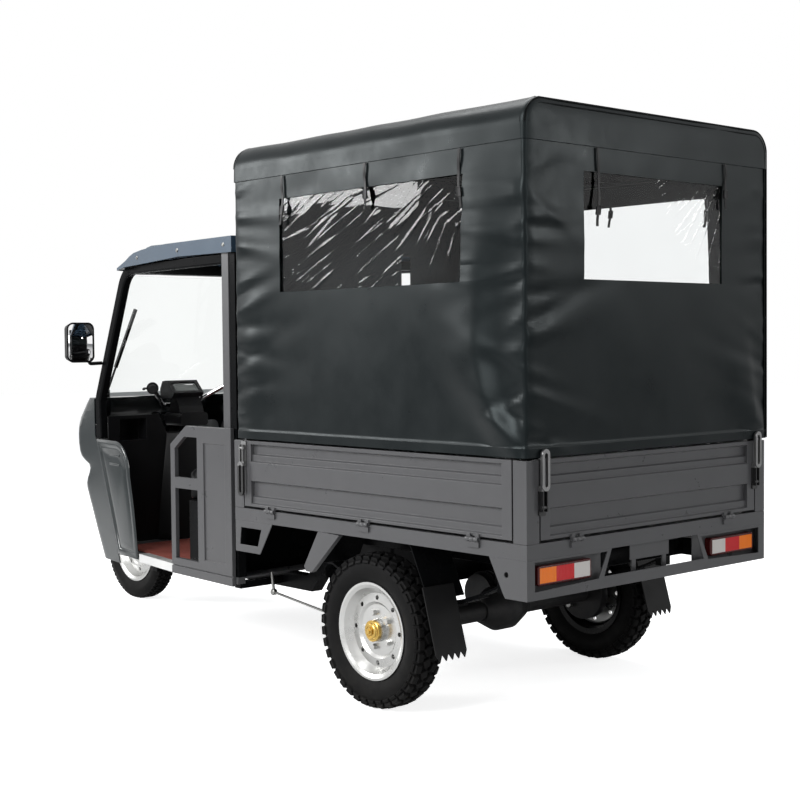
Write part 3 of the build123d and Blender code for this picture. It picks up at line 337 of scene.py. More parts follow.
def calc(tree, operation, *values, kind="ShaderNodeMath"):
    """Result of a math node."""
    node = add_node(tree, kind, {"operation": operation})
    for socket, value in zip(node.inputs, values):
        feed(tree, socket, value)
    given_as_number = kind == "ShaderNodeMath" or operation in {"DOT_PRODUCT", "LENGTH", "DISTANCE"}
    return node.outputs["Value" if given_as_number else "Vector"]


def vector_calc(tree, operation, *values):
    return calc(tree, operation, *values, kind="ShaderNodeVectorMath")


def ramp(tree, value, low, high, start=0.0, end=1.0, **settings):
    """Result of a map range node."""
    return add_node(tree, "ShaderNodeMapRange", settings, Value=value, From_Min=low, From_Max=high,
                    To_Min=start, To_Max=end).outputs[0]


def clouds(tree, place, scale, detail, roughness=0.5):
    return add_node(tree, "ShaderNodeTexNoise", Vector=place, Scale=scale, Detail=detail,
                    Roughness=roughness).outputs["Fac"]


def together(tree, x, y, z=0.0):
    return add_node(tree, "ShaderNodeCombineXYZ", X=x, Y=y, Z=z).outputs[0]


def mix_colour(tree, mask, first, second):
    node = add_node(tree, "ShaderNodeMix", {"data_type": "RGBA"})
    tree.links.new(mask, node.inputs[0])
    for socket, value in ((node.inputs[6], first), (node.inputs[7], second)):
        feed(tree, socket, value if isinstance(value, bpy.types.NodeSocket) else opaque(value))
    return node.outputs[2]


def mix_shader(tree, mask, first, second):
    node = tree.nodes.new("ShaderNodeMixShader")
    for socket, value in zip(node.inputs, (mask, first, second)):
        tree.links.new(value, socket)
    return node.outputs[0]


# Shader groups: each gives only colours, masks and heights

def new_group(name, inputs, outputs):
    """Group that takes coordinates and more inputs, with the sockets of both its ends."""
    tree = bpy.data.node_groups.new(name, "ShaderNodeTree")
    for title, kind, value in (("Coordinates", "Vector", None), *inputs):
        socket = tree.interface.new_socket(title, in_out="INPUT", socket_type=f"NodeSocket{kind}")
        if value is not None:
            socket.default_value = value
    for title, kind in outputs:
        tree.interface.new_socket(title, in_out="OUTPUT", socket_type=f"NodeSocket{kind}")
    return tree, tree.nodes.new("NodeGroupInput").outputs, tree.nodes.new("NodeGroupOutput").inputs


def tone_drift():
    """Slow change of brightness over a surface."""
    tree, given, out = new_group(
        "tone_drift", [("Colour", "Color", None), ("Scale", "Float", 6.0), ("Amount", "Float", 0.08)],
        [("Colour", "Color")],
    )
    cloud = clouds(tree, given["Coordinates"], given["Scale"], 5.0, 0.6)
    span = calc(tree, "MULTIPLY", given["Amount"], 4.0)
    factor = calc(tree, "MULTIPLY_ADD", calc(tree, "SUBTRACT", cloud, 0.5), span, 1.0)
    scaled = add_node(tree, "ShaderNodeVectorMath", {"operation": "SCALE"}, Vector=given["Colour"],
                      Scale=factor)
    tree.links.new(scaled.outputs[0], out["Colour"])
    return tree


def gloss_breakup():
    """Roughness that wanders between two values."""
    tree, given, out = new_group(
        "gloss_breakup", [("Scale", "Float", 9.0), ("Low", "Float", 0.3), ("High", "Float", 0.5)],
        [("Roughness", "Float")],
    )
    cloud = clouds(tree, given["Coordinates"], given["Scale"], 6.0, 0.65)
    tree.links.new(ramp(tree, cloud, 0.3, 0.7, given["Low"], given["High"]), out["Roughness"])
    return tree


def fine_grain():
    """Height of a fine even grain, as sprayed paint or moulded plastic shows."""
    tree, given, out = new_group("fine_grain", [("Scale", "Float", 600.0)], [("Height", "Float")])
    tree.links.new(clouds(tree, given["Coordinates"], given["Scale"], 3.0), out["Height"])
    return tree


def pebble_grain():
    """Height of the pebbled skin of coated cloth."""
    tree, given, out = new_group("pebble_grain", [("Scale", "Float", 350.0)], [("Height", "Float")])
    cells = add_node(tree, "ShaderNodeTexVoronoi", {"feature": "SMOOTH_F1"}, Vector=given["Coordinates"],
                     Scale=given["Scale"])
    tree.links.new(cells.outputs["Distance"], out["Height"])
    return tree


def road_dust():
    """Pale dust that thins out upwards from the road."""
    tree, given, out = new_group(
        "road_dust",
        [("Colour", "Color", None), ("Dust", "Color", (0.16, 0.145, 0.125, 1.0)), ("Reach", "Float", 0.6),
         ("Amount", "Float", 0.2)],
        [("Colour", "Color")],
    )
    height = add_node(tree, "ShaderNodeSeparateXYZ", Vector=given["Coordinates"]).outputs["Z"]
    fall = ramp(tree, height, 0.0, given["Reach"], 1.0, 0.0)
    patch = ramp(tree, clouds(tree, given["Coordinates"], 24.0, 8.0, 0.7), 0.35, 0.75)
    mask = calc(tree, "MULTIPLY", calc(tree, "MULTIPLY", fall, patch), given["Amount"])
    tree.links.new(mix_colour(tree, mask, given["Colour"], given["Dust"]), out["Colour"])
    return tree


def group_node(tree, maker, **sockets):
    """Outputs of a shader group that is built once."""
    group = bpy.data.node_groups.get(maker.__name__) or maker()
    return add_node(tree, "ShaderNodeGroup", {"node_tree": group}, **sockets).outputs


# Finishes

def opaque(colour):
    return (*colour[:3], 1.0)


def start_finish(name, **sockets):
    """New material with its Principled shader and Object coordinates."""
    material = bpy.data.materials.new(name)
    material.use_nodes = True
    tree = material.node_tree
    shader = tree.nodes["Principled BSDF"]
    for key, value in sockets.items():
        shader.inputs[key.replace("_", " ")].default_value = value
    tree.nodes.new("ShaderNodeTexCoord")
    return material, tree, shader, object_place(tree)


def object_place(tree):
    return tree.nodes["Texture Coordinate"].outputs["Object"]


def place_parts(tree):
    """Sockets of X, Y and Z of the Object coordinates."""
    return add_node(tree, "ShaderNodeSeparateXYZ", Vector=object_place(tree)).outputs


def off_centre(tree, value, middle=0.0):
    """Distance of a value from a middle."""
    return calc(tree, "ABSOLUTE", calc(tree, "SUBTRACT", value, middle))


def set_bump(tree, shader, height, distance, strength):
    bump = add_node(tree, "ShaderNodeBump", Height=height, Distance=distance, Strength=strength)
    tree.links.new(bump.outputs[0], shader.inputs["Normal"])


def coat_finish(name, colour, rough, shine=0.5, drift=0.05, drift_scale=5.0,
                grain=(fine_grain, 700.0, 0.0004, 0.15), dust=0.0, **sockets):
    """Paint, plastic, rubber or metal: drifting tone, broken gloss, a fine grain and some dust low down."""
    material, tree, shader, place = start_finish(name, Specular_IOR_Level=shine, **sockets)
    result = group_node(tree, tone_drift, Coordinates=place, Colour=opaque(colour), Scale=drift_scale,
                        Amount=drift)["Colour"]
    if dust:
        result = group_node(tree, road_dust, Coordinates=place, Colour=result, Amount=dust)["Colour"]
    tree.links.new(result, shader.inputs["Base Color"])
    gloss = group_node(tree, gloss_breakup, Coordinates=place, Low=rough[0], High=rough[1])
    tree.links.new(gloss["Roughness"], shader.inputs["Roughness"])
    if grain:
        maker, scale, distance, strength = grain
        height = group_node(tree, maker, Coordinates=place, Scale=scale)["Height"]
        set_bump(tree, shader, height, distance, strength)
    return material


def base_of(material):
    """Tree, shader and the socket that feeds the base colour of a finish."""
    tree = material.node_tree
    shader = tree.nodes["Principled BSDF"]
    return tree, shader, shader.inputs["Base Color"].links[0].from_socket


def split_at(tree, value, place, soft=0.0005):
    """Mask that is 1 where a value is past a place."""
    return ramp(tree, value, place - soft, place + soft)


def ring_mask(tree, centre, radius):
    """Mask that is 1 inside a circle about an axle."""
    level = vector_calc(tree, "MULTIPLY", object_place(tree), (1.0, 0.0, 1.0))
    gap = vector_calc(tree, "DISTANCE", level, (centre.x, 0.0, centre.z))
    return ramp(tree, gap, radius - 0.0008, radius + 0.0008, 1.0, 0.0)


def wheel_finish(material):
    """Brass at the middle of the rims, and painted shade, near black, on the inner side of the rear ones."""
    tree, shader, base = base_of(material)
    hub_radius, shade_from = 0.037, 0.3
    for node in ("rear_rim_left", "front_rim"):
        low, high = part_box(node)
        base = mix_colour(tree, ring_mask(tree, (low + high) / 2, hub_radius), base, colours().hub)
    across = calc(tree, "ABSOLUTE", place_parts(tree)["Y"])
    low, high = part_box("rear_rim_left")
    disc = (low.y + high.y) / 2 - 0.004
    # Painted shade: the rear rims' inner side, from 0.3 m out to the disc, is painted near black
    inner = calc(tree, "SUBTRACT", split_at(tree, across, shade_from), split_at(tree, across, disc))
    tree.links.new(mix_colour(tree, inner, base, (0.010, 0.010, 0.010)), shader.inputs["Base Color"])


def rubber_loops(material):
    """Black rubber on the loop handles under the steel of the latches."""
    tree, shader, base = base_of(material)
    loop_top = 0.792
    steel = split_at(tree, place_parts(tree)["Z"], loop_top)
    tree.links.new(mix_colour(tree, steel, colours().rubber, base), shader.inputs["Base Color"])
    tree.links.new(steel, shader.inputs["Metallic"])


def lamp_segments(material):
    """Amber, red and clear thirds of the tail lamps with a dark red border and lens flutes."""
    tree, shader, _ = base_of(material)
    low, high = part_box("tail_lamps")
    long, half_tall, half_long = 0.250, 0.0235, 0.1165
    inner = high.y - long
    parts = place_parts(tree)
    across = calc(tree, "ABSOLUTE", parts["Y"])
    clear, red = (0.55, 0.52, 0.50), (0.50, 0.004, 0.008)
    amber, border_red = (0.80, 0.17, 0.002), (0.06, 0.003, 0.003)
    lens = mix_colour(tree, split_at(tree, across, inner + long / 3), clear, red)
    lens = mix_colour(tree, split_at(tree, across, inner + 2 * long / 3), lens, amber)
    edges = [split_at(tree, off_centre(tree, parts["Z"], (low.z + high.z) / 2), half_tall),
             split_at(tree, off_centre(tree, across, inner + long / 2), half_long)]
    border = calc(tree, "MAXIMUM", *edges)
    tree.links.new(mix_colour(tree, border, lens, border_red), shader.inputs["Base Color"])
    ribs_along(material, "Y", 45.0, 0.0015, 0.6)


def crease_lines(tree, place, width):
    """Thin lines where a noise passes its middle value."""
    gap = off_centre(tree, clouds(tree, place, 1.0, 0.6, 0.4), 0.5)
    return ramp(tree, gap, 0.0, width, 1.0, 0.0, interpolation_type="SMOOTHSTEP")


def film_creases(material, pulled, far, sparse):
    """Thin creases of a clear film: a fan from its pulled corner, given as (level, height), and slanting
    lines, which end at a far distance. The more sparse, the fewer patches have creases."""
    tree, shader, _ = base_of(material)
    parts = place_parts(tree)
    across = calc(tree, "SUBTRACT", calc(tree, "ADD", parts["X"], parts["Y"]), pulled[0])
    down = calc(tree, "SUBTRACT", pulled[1], parts["Z"])
    flat = together(tree, across, down)
    swing = calc(tree, "ARCTAN2", down, across)
    reach = vector_calc(tree, "LENGTH", flat)
    upright = vector_calc(tree, "DOT_PRODUCT", flat, (-0.46, 0.89, 0.0))
    along = vector_calc(tree, "DOT_PRODUCT", flat, (0.89, 0.46, 0.0))
    sets = []
    for first, fast, second, slow, width, share, spread in (
        (swing, 10.0, reach, 1.1, 0.075, 1.0, 3.0), (upright, 34.0, along, 2.4, 0.070, 0.9, 4.3),
    ):
        place = together(tree, calc(tree, "MULTIPLY", first, fast), calc(tree, "MULTIPLY", second, slow),
                         spread)
        kept = ramp(tree, clouds(tree, flat, spread, 1.0), sparse, sparse + 0.13, 0.0, share)
        sets.append(calc(tree, "MULTIPLY", crease_lines(tree, place, width), kept))
    near = ramp(tree, reach, far - 0.06, far, 1.0, 0.0)
    set_bump(tree, shader, calc(tree, "MULTIPLY", calc(tree, "ADD", *sets), near), 0.0009, 1.0)


def curved_mirror(material):
    """Slight outward curve of the mirror glasses."""
    tree, shader, _ = base_of(material)
    low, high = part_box("mirror_glass")
    spots = [vertex.co.y for vertex in nodes["mirror_glass"].data.vertices if vertex.co.y > 0]
    curve = -2.4
    parts = place_parts(tree)
    aside = calc(tree, "SUBTRACT", calc(tree, "ABSOLUTE", parts["Y"]), sum(spots) / len(spots))
    flat = together(tree, aside, calc(tree, "SUBTRACT", parts["Z"], (low.z + high.z) / 2))
    square = vector_calc(tree, "DOT_PRODUCT", flat, flat)
    set_bump(tree, shader, calc(tree, "MULTIPLY", square, curve), 1.0, 1.0)


def ribs_along(material, axis, scale, distance, strength=0.7):
    """Straight ribs pressed across a mat, a step or a lens."""
    tree, shader, _ = base_of(material)
    wave = add_node(tree, "ShaderNodeTexWave", {"bands_direction": axis}, Scale=scale, Distortion=0.0,
                    Vector=object_place(tree))
    set_bump(tree, shader, wave.outputs["Fac"], distance, strength)


def make_finishes():
    """All finishes, in place of the plain ones that came with the solids."""
    for plain in list(bpy.data.materials):
        bpy.data.materials.remove(plain)
    shade = colours()
    coat_finish("grey_paint", shade.bed, (0.26, 0.38), 0.34, dust=0.08)
    coat_finish("dark_paint", (0.0034, 0.0036, 0.0040), (0.20, 0.32), 0.04, dust=0.02)
    coat_finish("shield_paint", shade.shield, (0.16, 0.24), 0.24, dust=0.04, Coat_Weight=0.28,
                Coat_Roughness=0.08)
    coat_finish("roof_paint", shade.roof, (0.16, 0.26), 0.4, Coat_Weight=0.4, Coat_Roughness=0.06)
    coat_finish("black_plastic", (0.0040, 0.0040, 0.0045), (0.30, 0.42), 0.14,
                grain=(pebble_grain, 800.0, 0.0003, 0.25))
    for name, deep in (("canopy_vinyl", 1.0), ("canopy_binding", 0.3)):
        coat_finish(name, [value * deep for value in shade.canopy], (0.27, 0.39), 0.14 * deep, drift=0.08,
                    drift_scale=2.2, grain=(pebble_grain, 420.0, 0.0004, 0.15),
                    Specular_Tint=(0.86, 0.98, 1.0, 1.0))
    coat_finish("seat_vinyl", (0.0035, 0.0036, 0.0040), (0.34, 0.46), 0.05,
                grain=(pebble_grain, 300.0, 0.0006, 0.35))
    wheel_finish(coat_finish("rim_silver", shade.rim, (0.24, 0.34), dust=0.06, Metallic=0.95))
    coat_finish("tyre", shade.rubber, (0.48, 0.62), 0.06, dust=0.05)
    coat_finish("rubber", shade.rubber, (0.50, 0.62), 0.16)
    rubber_loops(coat_finish("steel", (0.24, 0.24, 0.24), (0.30, 0.42), dust=0.08, Metallic=1.0))
    coat_finish("zinc", (0.26, 0.26, 0.25), (0.28, 0.40), Metallic=1.0)
    coat_finish("brass", shade.hub, (0.20, 0.34), Metallic=1.0)
    coat_finish("chrome", (0.80, 0.80, 0.81), (0.06, 0.12), Metallic=1.0)
    ribs_along(coat_finish("step_alu", (0.74, 0.74, 0.73), (0.30, 0.42), Metallic=0.9), "X", 26.0, 0.0008)
    ribs_along(coat_finish("mat", shade.mat, (0.62, 0.78), 0.2, dust=0.2), "X", 32.0, 0.0012)
    coat_finish("cast", (0.012, 0.012, 0.013), (0.40, 0.55), 0.2, dust=0.15)
    curved_mirror(coat_finish("mirror", (0.9, 0.9, 0.9), (0.01, 0.03), drift=0.01, Metallic=1.0))
    coat_finish("headlamp", (0.85, 0.87, 0.88), (0.04, 0.10), Metallic=0.3, Coat_Weight=1.0,
                Coat_Roughness=0.02)
    coat_finish("screen", (0.05, 0.06, 0.055), (0.03, 0.08), 0.6, grain=None, Coat_Weight=0.5)
    lamp_segments(coat_finish("tail_lamp", (0.36, 0.012, 0.010), (0.10, 0.18), 0.25, grain=None,
                              Coat_Weight=0.1))
    clear = {"grain": None, "Transmission_Weight": 1.0}
    for name, which, far, sparse in (("window_film", "side", 2.0, 0.48), ("film_rear", "rear", 0.46, 0.20)):
        low, high = window_box(which)
        film = coat_finish(name, (0.95, 0.96, 0.96), (0.0, 0.03), drift=0.01, IOR=1.21, **clear)
        film_creases(film, (low.x + low.y - 0.07, high.z + 0.12), far, sparse)
    coat_finish("glass", (0.95, 0.97, 0.96), (0.0, 0.01), drift=0.005, IOR=1.25, **clear)


other_finishes = {"front_cowl": "shield_paint", "rear_mudguards": "dark_paint"}
flowing_nodes = {"front_cowl", "cab_roof", "leg_shields", "front_mudguard", "rear_mudguards"}
smooth_nodes = {
    "canopy_windows", "windshield", "mirror_glass", "front_rim", "rear_rim_left", "rear_rim_right",
    "front_tyre", "rear_tyre_left", "rear_tyre_right", "canopy_roof", "canopy_walls", "handlebar", "fork",
    "leaf_springs", "seat_cushion", "seat_back",
}


class Dressing:
    """Options that the operators share."""

    bl_options = {"REGISTER", "UNDO"}


class TRICYCLE_OT_finishes(Dressing, bpy.types.Operator):
    """Gives every solid of the tricycle its finish"""

    bl_idname = "tricycle.finishes"
    bl_label = "Finishes"

    def execute(self, context):
        make_finishes()
        for entry in frame["record"]["subparts"]:
            name = entry["node"]
            solid = nodes[name]
            solid.data.materials.clear()
            solid.data.materials.append(bpy.data.materials[other_finishes.get(name, entry["material_slot"])])
            if name not in smooth_nodes:
                weld = solid.modifiers.new("weld", "WELD")
                weld.merge_threshold = 0.00001
                round_off = solid.modifiers.new("round", "BEVEL")
                round_off.width = sizes().edge_round
                round_off.segments = 2
                round_off.angle_limit = math.radians(32)
                round_off.harden_normals = True
            if name in flowing_nodes:
                even = solid.modifiers.new("even", "WEIGHTED_NORMAL")
                even.mode = "FACE_AREA_WITH_ANGLE"
        return {"FINISHED"}


# Canopy

hem_depth = 0.030
# Slit in the front wall
slit_low = Vector((0.0, -0.258, 1.48))
slit_high = Vector((0.0, -0.209, 1.60))
# Cords along each end: distance from the end, inset from the skin, radius
piping_rows = [(0.017, -0.0012, 0.0030), (-0.0012, 0.017, 0.0030), (0.002, 0.002, 0.0042)]
# Long folds: height, distance from the corner, rise
corner_fold = [(0.895, 0.020, 0.008), (0.93, 0.052, 0.020), (1.00, 0.110, 0.031), (1.08, 0.162, 0.031),
               (1.20, 0.205, 0.028), (1.45, 0.215, 0.018), (1.70, 0.180, 0.006), (1.85, 0.150, 0.0)]
hanging_fold = [(0.895, 0.030, 0.004), (0.95, 0.070, 0.014), (1.05, 0.110, 0.012), (1.25, 0.150, 0.005),
                (1.5, 0.17, 0.0)]


def arch_tube(name, x, radius, low, high, edge):
    """Cord that runs up one side, over the rounded roof and down the other side."""
    deselect()
    bpy.ops.mesh.primitive_circle_add(vertices=10, radius=radius, location=(x, high.y, low))
    tube = named(name)
    edit(tube)
    straight = high.z - edge - low
    extrude_by((0, 0, straight))
    for side, onward in ((1, (0, 2 * (edge - high.y), 0)), (-1, (0, 0, -straight))):
        corner = (x, side * (high.y - edge), high.z - edge)
        bpy.ops.mesh.spin(steps=8, angle=math.pi / 2, center=corner, axis=(-1, 0, 0))
        extrude_by(onward)
    bpy.ops.mesh.select_all(action="SELECT")
    bpy.ops.mesh.fill_holes(sides=0)
    leave()
    close_up(tube)
    return tube


def hump(value, middle, width):
    return math.exp(-((value - middle) / width) ** 2)


def between(value, table):
    """Straight-line value from a table of (place, value) rows."""
    for (a, low), (b, high) in zip(table, table[1:]):
        if value <= b:
            share = max(0.0, (value - a) / (b - a))
            return low + (high - low) * share
    return table[-1][1]


def scatter(order, seed):
    """Repeatable number between -1 and 1."""
    return 2 * math.modf(abs(math.sin(order * 12.9898 + seed * 78.233)) * 437.5453)[0] - 1


def puckers(edge, height, seed, depth, pitch=0.062):
    """Short gathers of the cloth that start at a sewn edge and die out over the wall."""
    if edge > 0.45:
        return 0.0
    total = 0.0
    first = int((height - 0.20 - canopy_low.z) / pitch)
    for order in range(max(0, first), first + 8):
        start = canopy_low.z + (order + 0.5 + 0.42 * scatter(order, seed)) * pitch
        if start > seam_height - 0.01:
            break
        tilt = 0.55 * scatter(order, seed + 1)
        reach = 0.12 + 0.07 * scatter(order, seed + 2)
        way = 1 if scatter(order, seed + 4) > -0.3 else -1
        rise = depth * (0.35 + 0.65 * abs(scatter(order, seed + 3))) * way
        off = (height - start - tilt * edge) / (0.013 + 0.07 * edge)
        if abs(off) < 2.5:
            total += rise * math.exp(-off * off - edge / reach) * min(1.0, edge / 0.012)
    return total


def fold(run, height, line, rear_width, front_width):
    """Long fold along a line of (height, run, rise) rows, steep on its rear side."""
    crest = between(height, [(row[0], row[1]) for row in line])
    rise = between(height, [(row[0], row[2]) for row in line])
    grow = max(0.0, height - line[0][0])
    width = rear_width + 0.10 * grow if run < crest else front_width + 0.30 * grow
    return rise * hump(run, crest, width)


def side_folds(run, height, length, seed):
    """How far a side wall stands out, run metres ahead of its rear edge."""
    out = fold(run, height, corner_fold, 0.030, 0.065)
    out += puckers(run, height, seed, 0.010) + puckers(length - run, height, seed + 5, 0.013)
    if 1.42 < height < 1.78:
        window_edge = 0.246
        out += puckers(abs(run - window_edge) + 0.006, height, seed + 9, 0.0022, 0.030)
    return out + 0.012 * hump(length - run, 0.09, 0.08) * hump(height, 1.15, 0.3)


def end_folds(run, height, length, seed):
    """How far an end wall stands out, run metres from its left edge."""
    out = fold(length - run, height, hanging_fold, 0.030, 0.05)
    return out + puckers(run, height, seed, 0.012, 0.075) + puckers(length - run, height, seed + 5, 0.005)


def wall_shift(place, normal, long_run):
    """How far a wall of the canopy stands out, with its doubled hem."""
    x, y, z = place
    if abs(normal.y) > abs(normal.x):
        out = side_folds(x - canopy_low.x, z, long_run, 1.0 if normal.y > 0 else 4.0)
    else:
        out = end_folds(canopy_high.y - y, z, 2 * canopy_high.y, 7.0 if normal.x < 0 else 9.0)
    out += 0.0040 * noise.noise(Vector((x * 3.1 + y, z * 2.3, y * 3.1)))
    out += 0.0012 * noise.noise(Vector((x * 9.0, z * 7.0, y * 9.0)))
    corner = min(x - canopy_low.x, canopy_high.x - x, 0.3) + min(canopy_high.y - abs(y), 0.3)
    out *= min(1.0, (seam_height - z) / 0.05) * min(1.0, corner / 0.03)
    return out + 0.0015 if z < canopy_low.z + hem_depth else out


def canopy_shift(place, normal):
    """Folds of the walls, the stepped seam and the roof's sag between its arches."""
    long_run = canopy_high.x - canopy_low.x
    flat = Vector((normal.x, normal.y, 0.0))
    if flat.length > 0.5 and place.z < seam_height - 0.001:
        return flat.normalized() * wall_shift(place, normal, long_run)
    out = 0.0030 * noise.noise(Vector((place.x * 5.0, place.y * 5.0, place.z * 9.0)))
    if normal.z < 0.95:
        out += sizes().seam_step
    else:
        sag = math.sin(math.pi * (place.x - canopy_low.x) / (long_run / 3)) ** 2
        out -= 0.006 * sag * (1 - (place.y / canopy_high.y) ** 4)
    return normal * out


def window_box(which):
    """Corners of the left side window or the rear window, from the films' solids."""
    low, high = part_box("canopy_windows")
    places = [vertex.co for vertex in nodes["canopy_windows"].data.vertices]
    if which == "side":
        places = [place for place in places if place.y > high.y - 0.004]
    else:
        places = [place for place in places if place.x < low.x + 0.004]
    return tuple(Vector([end(place[i] for place in places) for i in range(3)]) for end in (min, max))


def in_window(place, side, back):
    near = 0.02
    if abs(place.y) > canopy_high.y - near:
        return side[0].x < place.x < side[1].x and side[0].z < place.z < side[1].z
    for wall, (low, high) in ((canopy_low.x, back), (canopy_high.x, (slit_low, slit_high))):
        if abs(place.x - wall) < near:
            return low.y < place.y < high.y and low.z < place.z < high.z
    return False


class TRICYCLE_OT_canopy(Dressing, bpy.types.Operator):
    """Models the canopy as one curved sheet with its folds, band, hem and piping"""

    bl_idname = "tricycle.canopy"
    bl_label = "Canopy"

    def execute(self, context):
        size = sizes()
        low, high = canopy_low, canopy_high
        side = window_box("side")
        back = window_box("rear")
        sheet = block("canopy_sheet", low, high)
        edit(sheet)
        pick("FACE", lambda face: face.normal.z < -0.9)
        bpy.ops.mesh.delete(type="FACE")
        pick("EDGE", lambda edge: all(v.co.z > high.z - 0.001 for v in edge.verts)
             and abs(edge.verts[0].co.y - edge.verts[1].co.y) < 0.001)
        soften(size.edge_radius, 8)
        pick("EDGE", lambda edge: max(v.co.z for v in edge.verts) > low.z + 0.001
             and (all(v.co.x < low.x + 0.001 for v in edge.verts)
                  or all(v.co.x > high.x - 0.001 for v in edge.verts)))
        soften(size.end_radius, 3)
        self.cut_grid(size, side, back)
        pick("FACE", lambda face: in_window(middle_of(face), side, back))
        bpy.ops.mesh.delete(type="FACE")
        leave()
        close_up(sheet)
        modify(sheet, "SUBSURF", subdivision_type="SIMPLE", levels=1, render_levels=1)
        move_points(sheet, canopy_shift)
        modify(sheet, "SOLIDIFY", thickness=size.sheet_thickness, offset=-1.0)
        finished(sheet, "chassis", "canopy_vinyl", angle=50)
        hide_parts("canopy_roof", "canopy_walls")
        cords = []
        for end, toward in ((low.x, 1), (high.x, -1)):
            for along, inset, radius in piping_rows:
                reach = Vector((0, high.y - inset, high.z - inset))
                cords.append(arch_tube(f"piping_{len(cords)}", end + toward * along, radius, low.z + 0.002,
                                       reach, size.edge_radius - inset))
        finished(join("canopy_piping", cords), "chassis", "canopy_vinyl", "canopy_binding", 50)
        return {"FINISHED"}

    def cut_grid(self, size, side, back):
        """Cuts the sheet into a grid that meets the edges of the windows, the slit, the hem and the seam."""
        low, high, pitch = canopy_low, canopy_high, size.sheet_pitch
        ends = size.end_radius + 0.004
        edge = size.edge_radius
        slice_across(0, [*steps(low.x + ends, side[0].x, pitch), *steps(side[0].x, side[1].x, pitch)[1:],
                         *steps(side[1].x, high.x - ends, pitch)[1:]])
        slice_across(1, [*steps(-high.y + edge, back[0].y, pitch), *steps(back[0].y, back[1].y, pitch)[1:],
                         *steps(back[1].y, high.y - edge, pitch)[1:]])
        slice_across(2, [low.z + hem_depth - 0.002, low.z + hem_depth + 0.001,
                         *steps(low.z + 0.05, back[0].z, pitch), side[0].z,
                         *steps(back[0].z + 0.02, side[1].z, pitch), back[1].z,
                         *steps(back[1].z + 0.02, seam_height - 0.02, pitch),
                         seam_height - 0.0025, seam_height, seam_height + 0.02, seam_height + 0.036])
        slice_across(1, (slit_low.y, slit_high.y))
        slice_across(2, (slit_low.z, slit_high.z))


# Clear films

film_border = 0.016
film_thickness = 0.0006
film_set_back = 0.004


def film_grid(name, low, high, outward, seed):
    """Upright film with a slow billow; its thin creases are in the finish."""
    pitch = sizes().film_pitch
    wide = (high - low).y if abs(outward.x) else (high - low).x
    tall = high.z - low.z
    middle = (low + high) / 2
    deselect()
    bpy.ops.mesh.primitive_grid_add(x_subdivisions=round(wide / pitch), y_subdivisions=round(tall / pitch),
                                    size=1)
    bpy.context.object.scale = (wide + film_border, tall + film_border, 1)
    grid = named(name)
    upright = Vector((0, 0, 1))
    turn = Matrix((upright.cross(outward), upright, outward)).transposed().to_4x4()
    grid.data.transform(Matrix.Translation(middle) @ turn)

    def shift(place, normal):
        u = middle.x + middle.y - place.x - place.y
        v = place.z - middle.z
        edge = min(wide / 2 - abs(u), tall / 2 - abs(v))
        billow = 0.0006 * noise.noise(Vector((u * 5.0 + v * 3.0, v * 6.0, seed)))
        return outward * (billow * min(1.0, max(0.0, edge / 0.02)) - film_set_back)

    move_points(grid, shift)
    modify(grid, "SOLIDIFY", thickness=film_thickness, offset=-1.0)
    finished(grid, "chassis", "window_film", "film_rear" if name == "film_rear" else "window_film", 60)
    return grid


class TRICYCLE_OT_films(Dressing, bpy.types.Operator):
    """Models the clear films of the canopy windows with their sewn borders"""

    bl_idname = "tricycle.films"
    bl_label = "Window films"

    def execute(self, context):
        low, high = window_box("side")
        left = film_grid("film_left", low, high, Vector((0, 1, 0)), 2.0)
        film_grid("film_right", Vector((low.x, -high.y, low.z)), Vector((high.x, -low.y, high.z)),
                  Vector((0, -1, 0)), 5.0)
        film_grid("film_rear", *window_box("rear"), Vector((-1, 0, 0)), 9.0)
        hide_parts("canopy_windows")
        return {"FINISHED"}


# Straps: wall, place along it and height of the loose end

side_straps = [(0.28, 1.66), (0.73, 1.69), (1.185, 1.67)]
strap_rows = [*(("left", *row) for row in side_straps), ("rear", 0.30, 1.60), ("rear", -0.37, 1.69),
              *(("right", *row) for row in side_straps)]


class TRICYCLE_OT_straps(Dressing, bpy.types.Operator):
    """Models the straps and buckles that hold the rolled window covers"""

    bl_idname = "tricycle.straps"
    bl_label = "Straps"

    def execute(self, context):
        top = seam_height - 0.002
        clear = 0.006
        face = canopy_high.y + clear
        made = []
        for order, (where, place, foot) in enumerate(strap_rows):
            strap = block(f"strap_{order}", (-0.006, -0.0012, foot), (0.006, 0.0012, top))
            edit(strap)
            slice_across(2, steps(foot, top, 0.02)[1:-1])
            pick("EDGE", lambda edge: rise_of(edge) > 0.005)
            soften(0.0008, 1)
            leave()
            buckle = block(f"buckle_{order}", (-0.010, -0.003, foot + 0.035), (0.010, 0.004, foot + 0.065))
            edit(buckle)
            pick("FACE", lambda face: abs(face.normal.y) > 0.9)
            bpy.ops.mesh.inset(thickness=0.004, depth=-0.0015)
            bpy.ops.mesh.select_all(action="SELECT")
            soften(0.0012, 2)
            leave()
            one = join(f"strap_{order}", [strap, buckle])

            def sway(spot, normal, order=order, foot=foot):
                loose = max(0.0, (top - spot.z) / (top - foot))
                aside = 0.010 * loose * math.sin(5 * loose + order)
                return Vector((aside, 0.007 * loose * loose + 0.002 * math.sin(11 * loose), 0))

            move_points(one, sway)
            spot, turn = {"left": ((rear + place, face, 0), 0.0),
                          "right": ((rear + place, -face, 0), math.pi),
                          "rear": ((canopy_low.x - clear, place, 0), math.pi / 2)}[where]
            one.data.transform(Matrix.Translation(spot) @ Matrix.Rotation(turn, 4, "Z"))
            made.append(one)
        finished(join("canopy_straps", made), "chassis", "black_plastic")
        return {"FINISHED"}


# Tyres. Tread rows: place across and length as shares of the width, tilt in degrees, drop below the crown,
# shift round the tyre as a share of the pitch, slant in degrees

